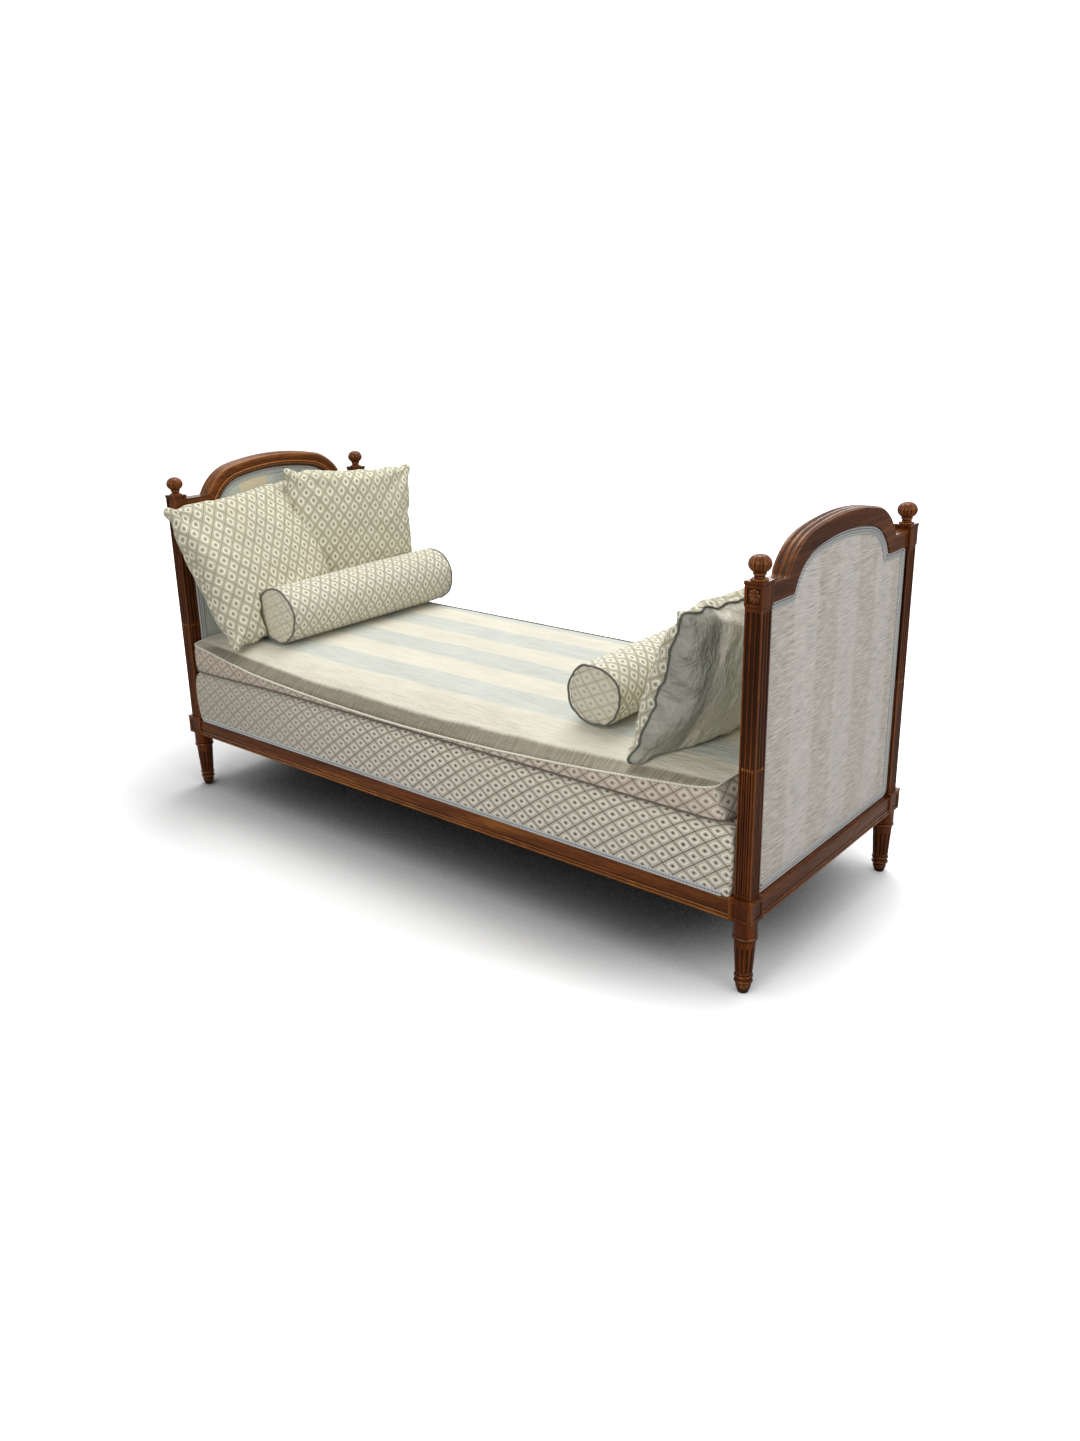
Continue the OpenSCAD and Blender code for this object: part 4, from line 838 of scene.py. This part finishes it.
def mattress():
    """Striped top, patterned boxing with slack in it, and piping in both seams."""
    across, deep = (0.35 * np.sin(t * PI / 2) + 0.65 * t for t in (np.linspace(-1, 1, n) for n in (150, 64)))
    U, V = np.meshgrid(across, deep, indexing="ij")
    X, Y = rim_xy(U, V, 42.0)
    d = np.minimum(M_L / 2 - np.abs(X), M_W / 2 - np.abs(Y))
    Z = surface(X, Y) + top_dress(X, Y, np.maximum(d - 6, 0)) * smooth_step(d, 2, 14)
    top = coords(X, Y, Z - 3.2 * (1 - smooth_step(d, 0, 9)))
    X, Y = rim_xy(U, V, 12.0)
    low = coords(X, Y, M_LOW + 0.4 - 9.0 * smooth_step(-Y, 371, 377) * smooth_step(-X, 500, 930))
    R, L, uv = rim(top), rim(low), rim(coords(U, V))
    out = np.sign(uv) * (np.abs(uv) > 0.9995)
    out /= np.maximum(1e-6, np.linalg.norm(out, axis=1))[:, None]
    full = np.clip((R[:, 2] - M_LOW) / (M_TOP - M_LOW), 0.0, 1.0)
    side = []
    for t in np.linspace(0, 1, 10):
        at, puff = R + (L - R) * t, abs(math.sin(PI * t))
        swell = full * (5.6 * puff ** 0.8 + 2.4 * puff * fbm(at * (1.0, 1.0, 1.4), 70.0, 3, 2.2))
        swell -= 4.0 * np.exp((at[:, 2] - R[:, 2]) / 5.0) * (0 < t < 1)
        at[:, :2] += out * swell[:, None]
        side.append(at)
    B = Build()
    B.grid(top).grid(low, flip=True, mat=2).grid(np.stack(side), wrap_j=True, mat=1)
    obj = B.make("mattress_cloth", [top_cloth, boxing_cloth, under_cloth, end_cloth], "mattress",
                 "stripe_cloth", ["mattress_cover", "mattress_core"], merge=0.05)
    for poly in obj.data.polygons:
        if poly.material_index == 1 and abs(poly.normal.x) > abs(poly.normal.y):
            poly.material_index = 3
    seam = coords(*(R[:, :2] + out * 2.2).T, R[:, 2] + 0.4)
    seam[:, 2] += 0.5 * fbm(seam, 40.0, 2, 5.0)
    foot = coords(*(L[:, :2] + out * 1.6).T, L[:, 2] + 2.8)
    B = Build()
    # The bottom piping takes the darkened cord, partly painted shade under the boxing
    B.tube(resample(seam, 7.0), 2.8).tube(resample(foot, 7.0), 2.5, 8, mat=2)
    pipe = B.make("mattress_cord", [cream_cord, dark_cord, shaded_seam_cord], "mattress", "cream_piping",
                  ["mattress_piping"])
    # The piping at the back of the top takes the dark cord, as painted shade along that edge
    for poly in pipe.data.polygons:
        if poly.material_index == 0 and poly.center.z > 0.44 and poly.center.y > 0.365:
            poly.material_index = 1


mattress()


# Bolsters

# Middle, ends and the radius at each end, read from the photograph
BOLSTERS = {"left": (-672.0, -258.0, 406.0, 87.0, 90.0), "right": (507.0, -275.0, 389.0, 80.5, 84.5)}


def bolster_axis(side, y):
    """Radius of a bolster and the height of its middle at a depth."""
    _, y0, y1, r0, r1 = BOLSTERS[side]
    r = np.interp(y, (y0, y1), (r0, r1))
    return r, M_TOP + r - 1.0


def bolster(side, seed, slack):
    """Slack cloth round a roll, gathered at each end round a piped disc."""
    x0, y0, y1 = BOLSTERS[side][:3]
    turn, t = ring_angles(96), np.linspace(-1, 1, 78)
    ys = (y0 + y1) / 2 + (y1 - y0) / 2 * (0.55 * np.sin(t * PI / 2) + 0.45 * t)
    Y = ys[:, None] + 0 * turn
    cos, sin = np.cos(turn), np.sin(turn)
    slow = fbm(coords(Y * 0.6, 90 * cos, 90 * sin), 110.0, 3, seed)
    tuck = fbm(coords(Y * 0.18, 84 * cos, 84 * sin), 17.0, 2, seed + 3)
    lobes = [slack * (1.8 + 4.5 * fbm(coords(60 * cos, 60 * sin, 9 * s), 38, 2, seed + 7)) for s in (-1, 1)]
    R, axis_z = bolster_axis(side, Y)
    r = R - 1.6 - slack * (1.0 + 1.6 * slow)
    near = np.minimum(Y - y0, y1 - Y)
    r -= (1.4 + 2.2 * tuck) * slack * np.exp(-near / 26.0) + 2.0 * np.exp(-near / 3.0)
    r -= lobes[0] * np.exp(-(Y - y0) / 26.0) + lobes[1] * np.exp(-(y1 - Y) / 26.0)
    X, Z = x0 + r * cos, np.maximum(axis_z + r * sin, M_TOP + 0.5)
    B, cord = Build(), Build()
    round_it = np.linspace(0, ROLL_REPEATS * ROLL_REPEAT, len(turn) + 1)
    B.grid(coords(X, Y, Z), coords(round_it, (ys * MM)[:, None]), wrap_j=True)
    rho = np.linspace(1, 0, 13)[:, None]
    for edge, y, s, lobe, tight in ((0, y0, -1, lobes[0], 3.6), (-1, y1, 1, lobes[1], 5.8)):
        mid = axis_z[edge, 0]
        px, pz = (X[edge] - x0) * rho, (Z[edge] - mid) * rho
        pucker = fbm(coords(px, pz, 0), 26.0, 2, seed + s)
        py = y + s * (8.0 * (1 - rho ** 2.4) + 1.6 * slack * pucker * np.sin(PI * rho) - 0.3)
        spun = (px + 1j * pz) * np.exp(1j * math.radians(12)) * MM
        UV = coords(spun.real, spun.imag)
        UV = np.concatenate([UV, UV[:, :1]], 1)
        B.grid(coords(x0 + px, py, mid + pz), UV, wrap_j=True, flip=s > 0, mat=1)
        hem = R[edge, 0] - tight - lobe
        path = coords(x0 + hem * cos, y + s * (2.0 + 0.3 * lobe), np.maximum(mid + hem * sin, M_TOP + 3.2))
        cord.tube(path, 2.7, 8, ref=Y_AXIS)
    name = "bolster_" + side
    obj = B.make("bolster_cloth_" + side, [bolster_cloth, disc_cloth], name, "diamond_cloth",
                 [name + "_cover", name + "_insert"], merge=0.03)
    cord.make("bolster_cord_" + side, [dark_cord], name, "dark_piping", [name + "_piping"])


bolster("left", 1.3, 0.9)
bolster("right", 6.1, 1.5)


# Cushions

def inflate(w, h, pressure, n, seed):
    """Two flat panels sewn round their edge and blown up by Blender's Cloth. Gives the points in millimetres,
    with the front at -Y, and each side's grid of point numbers."""
    a = np.linspace(-1, 1, n)
    U, V = np.meshgrid(a, a, indexing="ij")
    X, Z = U * w / 2, V * h / 2
    crown = 9.0 * np.sqrt(np.clip((1 - U ** 2) * (1 - V ** 2), 0, None))
    ripple = 0.35 * fbm(coords(X, 0, Z), 55.0, 2, seed)
    front = np.arange(n * n).reshape(n, n)
    back = front.copy()
    back[1:-1, 1:-1] = n * n + np.arange((n - 2) ** 2).reshape(n - 2, n - 2)
    behind = coords(X, crown * (1 - ripple), Z)[1:-1, 1:-1]
    verts = np.vstack([coords(X, -crown * (1 + ripple), Z).reshape(-1, 3), behind.reshape(-1, 3)])
    quads, back_quads = (coords(I[:-1, :-1], I[1:, :-1], I[1:, 1:], I[:-1, 1:]).reshape(-1, 4)
                         for I in (front, back))
    me = bpy.data.meshes.new("sim")
    me.from_pydata((verts * MM).tolist(), [], np.vstack([quads, back_quads[:, ::-1]]).tolist())
    me.update()
    obj = add_object("sim", me)
    mod = obj.modifiers.new("cloth", "CLOTH")
    settings = dict(quality=6, mass=0.3, tension_stiffness=18, compression_stiffness=18, shear_stiffness=6,
                    bending_stiffness=0.25, use_pressure=True, uniform_pressure_force=pressure)
    for key, value in settings.items():
        setattr(mod.settings, key, value)
    mod.settings.effector_weights.gravity = 0
    mod.collision_settings.use_collision = False
    mod.point_cache.frame_start, mod.point_cache.frame_end = 1, 22
    for step in range(1, 21):
        bpy.context.scene.frame_set(step)
    blown = obj.evaluated_get(bpy.context.evaluated_depsgraph_get())
    got = np.array([p.co[:] for p in blown.data.vertices]) / MM
    bpy.data.objects.remove(obj)
    bpy.context.scene.frame_set(1)
    return got, front, back


def push_out(P, side):
    """Keeps a cushion off the mattress, the bolster and the end of the bed."""
    x0, y0, y1 = BOLSTERS[side][:3]
    x, y, z = P.T
    for _ in range(2):
        z[:] = np.maximum(z, surface(x, y) + 0.8)
        R, axis_z = bolster_axis(side, y)
        dx, dz = x - x0, z - axis_z
        r = np.hypot(dx, dz)
        k = np.where((y > y0 - 9) & (y < y1 + 9) & (r < R + 1.0), (R + 1.0) / np.maximum(r, 1), 1.0)
        x[:], z[:] = x0 + dx * k, axis_z + dz * k
    np.clip(x, -943.0, 943.0, out=x)


def cushion(name, size, corners, mats, side, seed, pressure, ears, full, gather=(6.0, 27.0, 26.0), pipe=None):
    """A simulated cushion, dressed with gathered corners and soft creases, and laid between four corners."""
    w, h, t = size
    n = 54
    P, front, back = inflate(w, h, pressure, n, seed)
    x, y, z = P.T
    x *= w / 2 / x.max()
    z *= h / 2 / z.max()
    y *= min(1.25, t / 2 / np.abs(y).max())
    u, v = np.clip(x / (w / 2), -1, 1), np.clip(z / (h / 2), -1, 1)
    x += full * w / 2 * np.sign(u) * np.abs(u) ** 3 * (1 - v ** 2)
    z += full * h / 2 * np.sign(v) * np.abs(v) ** 3 * (1 - u ** 2)
    loose, face = np.abs(y) > 0.01, np.where(y >= 0, 1, -1)
    for cu, cv in ((-1, -1), (-1, 1), (1, -1), (1, 1)):
        ear = ears.get((cu, cv), 0.5)
        dx, dz = (1 - u * cu) * w / 2, (1 - v * cv) * h / 2
        far, ang = np.hypot(dx, dz), np.arctan2(dz, dx)
        wave = np.sin(ang * 9 + seed + cu * 2 + cv) * smooth_step(far, 6, 34) * np.exp(-far / 62.0)
        y += ear * (face * 7.0 * bell(far, 24, 22) + 8.0 * wave) * loose
        pinch, blunt = ear * 9.0 * bell(far, 50, 22), 6.0 * bell(far, 0, 13)
        x -= cu * (pinch * np.sin(ang) * (ang > 0.9) + blunt)
        z -= cv * (pinch * np.cos(ang) * (ang < 0.6) + blunt)
    amount, length, reach = gather
    runs = [fbm(coords(x * a, z * b, face * 90.0), length, 2, seed + 2.0) for a, b in ((0.22, 1), (1, 0.22))]
    to_side = smooth_step(np.abs(u) - np.abs(v), -0.12, 0.12)
    folds = runs[0] * to_side + runs[1] * (1 - to_side)
    in_from = np.minimum((1 - np.abs(u)) * w / 2, (1 - np.abs(v)) * h / 2)
    crown = np.sqrt(np.clip((1 - u ** 2) * (1 - v ** 2), 0, 1))
    at = coords(x, y * 0.6, z)
    dent = np.maximum(0, 0.35 - np.abs(fbm(at, 105.0, 2, seed + 4.0)))
    y += loose * (crown * (3.5 * fbm(at, 120.0, 3, seed + 1.0) - 7.0 * face * dent)
                  + amount * folds * np.exp(-in_from / reach) * smooth_step(in_from, 1, 14))
    limit = t / 2 * np.sqrt(np.clip((1.002 - u ** 2) * (1.002 - v ** 2), 0, 1)) + 8.0
    np.clip(y, -limit, limit, out=y)

    tl, tr, bl, br = np.array(corners, float)
    normal = unit(np.cross(tr - tl, tl - bl))
    i, j = P[:, :1] / w + 0.5, P[:, 2:] / h + 0.5
    shares = ((front[0, 0], bl, (1 - i) * (1 - j)), (front[-1, 0], br, i * (1 - j)),
              (front[0, -1], tl, (1 - i) * j), (front[-1, -1], tr, i * j))
    W = sum(share * corner for _, corner, share in shares) - P[:, 1:2] * normal
    for k, corner, share in shares:
        W += share * (corner - W[k])
    push_out(W, side)
    rest = coords(np.linspace(-h / 2, h / 2, n), np.linspace(-w / 2, w / 2, n)[:, None]) * MM
    body = "cushion_" + name
    B = Build()
    B.grid(W[front], rest).grid(W[back], rest, mat=1, flip=True)
    obj = B.make("cushion_cloth_" + name, mats, body, "cushion_cloth", [body + "_cover", body + "_insert"],
                 merge=0.001)
    fine = obj.modifiers.new("fine", "SUBSURF")
    fine.levels = fine.render_levels = 1
    if pipe:
        path = resample(rim(W[front]), 5.0)
        off = unit(path - (tl + tr + bl + br) / 4)
        beat = fbm(coords(np.arange(len(path)) * 5.0, 0, 0), 26.0, 2, seed)
        path += off * (1.6 + 3.0 * beat)[:, None] + normal * (2.0 * np.roll(beat, 7))[:, None]
        path[:, 2] = np.maximum(path[:, 2], surface(path[:, 0], path[:, 1]) + 5.0)
        Build().tube(path, 2.6, ref=normal).make("cushion_cord_" + name, [pipe], body, "dark_piping",
                                                 [body + "_piping"])


# Corners: top left, top right, bottom left, bottom right, as the cushion's front is seen
cushion("near", (440, 442, 150), ((-934, -430, 893), (-939, 29, 918), (-732, -378, 483), (-746, 67, 519)),
        [loose_cloth, loose_cloth], "left", 1.0, 2.0, {(-1, 1): 1.3, (-1, -1): 1.4, (1, 1): 0.6}, 0.08)
cushion("far", (440, 442, 150), ((-888, -16, 964), (-765, 410, 938), (-865, -46, 512), (-742, 376, 486)),
        [loose_cloth, loose_cloth], "left", 5.0, 2.0, {(-1, 1): 1.3, (1, 1): 0.9}, 0.05)
cushion("right", (404, 404, 160), ((902, -5, 868), (823, -402, 841), (741, 30, 476), (668, -367, 469)),
        [loose_cloth, satin], "right", 8.0, 2.6, {(1, -1): 0.9, (1, 1): 1.0}, 0.02, (13.0, 30.0, 60.0),
        dark_cord)


# Carved wood

def finial(name, sx, sy):
    """Flattened bud with eight lobes on a short spool."""
    ball_z, ball_r, ball_h = POST_TOP + 32.5, 23.6, 19.4
    spool = [(0.0, 0.0), (17.4, 0.0), (17.9, 0.6), (17.9, 2.4), (16.8, 3.4), (13.6, 4.4), (11.8, 5.6),
             (11.2, 7.0), (11.2, 9.0), (11.9, 10.2), (13.4, 11.0), (14.0, 11.8), (13.8, 12.9), (12.8, 13.8)]
    th = ring_angles(128)
    rows = [(r + 0 * th, POST_TOP + z) for r, z in spool]
    groove = bell(np.sin(4 * th), 0, 0.34)
    for a in np.linspace(-0.98, PI / 2 - 0.001, 36):
        depth = 0.17 * max(0.0, math.cos(a)) ** 0.5 * (1 if a < 1.2 else 0.5)
        rows.append((ball_r * (1 - depth * groove) * math.cos(a) ** 0.92, ball_z + ball_h * math.sin(a)))
    P = np.stack([coords(sx * POST_X + r * np.cos(th), sy * POST_Y + r * np.sin(th), z) for r, z in rows])
    B = Build().grid(P, wrap_j=True)
    B.make("turned_" + name, [WOODS["turned"]], "frame", "walnut", ["finial_" + name], merge=0.02)


def rosette(name, sx, sy):
    """Eight carved leaves round a button, in the sunken panel of a die."""
    th = ring_angles(128)
    rho = np.concatenate([np.linspace(1, 0.30, 14), np.linspace(0.27, 0, 6)])[:, None]
    lobe = np.abs(np.cos(4 * th)) ** 0.7
    R = rho * (1 - 0.22 * (1 - lobe) * (rho > 0.3))
    leaf = 0.4 + 1.8 * np.sin(PI * np.clip((rho - 0.26) / 0.80, 0, 1)) * (0.25 + 0.75 * lobe)
    button = 0.9 + 1.9 * np.sqrt(np.clip(1 - (rho / 0.29) ** 2, 0, 1))
    H = np.where(rho > 0.29, leaf, button) * (rho <= 0.995)
    P = coords(sx * POST_X + 13.2 * R * np.cos(th), sy * (POST_Y + DIE_HALF - DIE_SUNK - 0.6 + H),
               DIE_MIDDLE + 15.6 * R * np.sin(th))
    B = Build()
    B.grid(P, wrap_j=True)
    B.grid(np.concatenate([P[:1], P[:1].mean(1, keepdims=True) + 0 * P[:1]]), wrap_j=True, flip=True)
    B.make("rosette_" + name, [WOODS["turned"]], "frame", "walnut", merge=0.01)


for corner, sx, sy in CORNERS:
    finial(corner, sx, sy)
    rosette(corner, sx, sy)


def pearls(side, sx):
    """Pearl beading, lightened as painted highlight, in a groove darkened as painted shade, along the inside
    edge of a crest and its shoulders.
    """
    off, end, r = 6.6, 334.0, 3.7
    foot = SHOULDER_Z + off
    line = [(end, foot)] + [p for p in OPENING.points(-off, 40) if p[1] > foot + 0.1] + [(-end, foot)]
    path = resample(line, 6.0, closed=False)
    ahead = unit(np.gradient(path, axis=0))
    aside = coords(-ahead[:, 1], ahead[:, 0])
    groove = [coords(sx * (CREST_IN - h), *(path + aside * w).T)
              for w, h in ((-6.2, -0.6), (-6.0, 2.7), (6.4, 2.7), (6.6, -0.6))]
    B = Build()
    B.grid(np.stack(groove, 1), mat=1, flip=sx > 0)
    B.tube(coords(sx * (CREST_IN - 2.7), *(path - aside * 7.6).T), 1.6, 8, False, ref=X_AXIS)
    th, a = ring_angles(12), np.linspace(0, PI / 2, 6)[:, None]
    k, h = r * np.cos(a) + 0.01, r * 0.62 * np.sin(a)
    for y, z in resample(line, 11.0, closed=False)[:-1]:
        pearl = coords(sx * (CREST_IN - 2.2 - h), y + k * np.cos(th), z + k * np.sin(th))
        B.grid(np.concatenate([pearl[:1] + (sx * 1.2, 0, 0), pearl]), wrap_j=True)
    B.make("pearls_" + side, [WOODS["bead"], WOODS["groove"]], "frame", "walnut", outward=False)


def moulding(side, sx):
    """Broad round moulding and a groove on the inner face of a crest."""
    inner, outer = (np.array(arch.points(n=46, shoulder=None)) for arch in (OPENING, CREST))
    keep = (inner * 0.4 + outer * 0.6)[:, 1] > SHOULDER_Z + 30
    inner, outer = inner[keep, None], outer[keep, None]
    from_end = np.arange(len(inner))
    taper = np.minimum(1, np.minimum(from_end, from_end[::-1]) / 3.0)[:, None] ** 0.5
    s = np.linspace(0, 1, 15)
    B = Build()
    for low, high, rise in ((0.345, 0.43, 1.5), (0.45, 0.93, 5.4)):
        out = 0.1 - rise * np.sqrt(np.clip(1 - (2 * s - 1) ** 2, 0, 1))
        place = inner + (outer - inner) * (low + (high - low) * s)[:, None]
        B.grid(coords(sx * (CREST_IN + 0.4 + out * taper), place[..., 0], place[..., 1]))
    obj = B.make("moulding_" + side, [WOODS["roll"]], "frame", "walnut")
    sol = obj.modifiers.new("body", "SOLIDIFY")
    sol.thickness, sol.offset = 0.0012, -1.0


for side, sx in SIDES:
    pearls(side, sx)
    moulding(side, sx)


# CAD pieces that stay

SHOWN = {"post_" + corner: WOODS["post"] for corner, _, _ in CORNERS}
SHOWN.update(rail_front=WOODS["x"], rail_back=WOODS["x"])
for side, _ in SIDES:
    SHOWN.update({"rail_" + side: WOODS["y"], "crest_" + side: WOODS["arch"]})
HIDDEN = {"panel_board_left": SOFTWOOD[2], "panel_board_right": SOFTWOOD[2], "corner_braces": SOFTWOOD[1],
          "ledgers": SOFTWOOD[0], "slats": SOFTWOOD[1], "edge_boards": SOFTWOOD[0],
          "corner_bolts": steel("bolt_steel"), "corner_nuts": steel("nut_steel")}
for node, mat in {**SHOWN, **HIDDEN}.items():
    paint(node, mat)
for node in SHOWN:
    NODES[node].modifiers.new("weld", "WELD").merge_threshold = 0.00002
    soft_edge = NODES[node].modifiers.new("edge", "BEVEL")
    soft_edge.width, soft_edge.segments = 0.0007, 2
    soft_edge.limit_method, soft_edge.angle_limit = "ANGLE", math.radians(38)


# Stage

def make_floor():
    """A floor with a painted shadow near the bed, from an occlusion node in its colour, that goes over to
    white.
    """
    s = 30.0
    me = bpy.data.meshes.new("floor")
    me.from_pydata([(-s, -s, 0), (s, -s, 0), (s, s, 0), (-s, s, 0)], [], [(0, 1, 2, 3)])
    floor = add_object("floor", me)
    floor.location = (0, 0, -0.0004)
    M = Mat("floor")
    seen = M.node("LightPath", out="Is Camera Ray")
    x, y, _ = M.xyz(M.place)
    far = ((x + 0.24) ** 2.0 + (y * 1.4) ** 2.0).math("SQRT")
    # Painted shadow: the occlusion darkens the floor's colour as the camera sees it
    near = M.node("AmbientOcclusion", {"Distance": 0.44}, "AO", samples=8)
    colour = M.mix(seen, (0.34, 0.34, 0.34), M.grey(near.step(0.16, 0.84) * 0.97))
    me.materials.append(M.done(colour, 1.0, Specular_IOR_Level=0.0, Emission_Color=(1, 1, 1),
                               Emission_Strength=seen * far.step(0.96, 1.90)))


def make_world():
    """White to look at, and dimmer as a light."""
    world = bpy.data.worlds.new("world")
    bpy.context.scene.world = world
    world.use_nodes = True
    T = Tree(world.node_tree)
    dim = T.tree.nodes["Background"]
    T.put(dim.inputs["Color"], (1, 1, 1))
    T.put(dim.inputs["Strength"], 0.42)
    rays = T.tree.nodes.new("ShaderNodeLightPath").outputs
    seen, shiny, clear = (Value(T, rays["Is %s Ray" % kind]) for kind in ("Camera", "Glossy", "Transmission"))
    white = T.node("Background", {"Color": (1, 1, 1), "Strength": 1.0})
    both = T.node("MixShader", {0: seen | shiny | clear, 1: Value(T, dim.outputs[0]), 2: white})
    T.put(T.tree.nodes["World Output"].inputs["Surface"], both)


make_floor()
make_world()
area_light("key", (-0.4, 1.1, 4.2), (0, 0, 0.3), (3.4, 2.2), 122)
area_light("front", (0.9, -4.6, 2.6), (0, 0, 0.5), (2.6, 1.8), 82)
area_light("rim", (-2.6, 5.2, 2.0), (0.2, 0, 0.7), (3.2, 0.9), 42)
area_light("side", (4.8, -0.8, 2.0), (0.9, 0, 0.6), (2.0, 1.8), 46)
bpy.context.scene.view_settings.view_transform = "Standard"
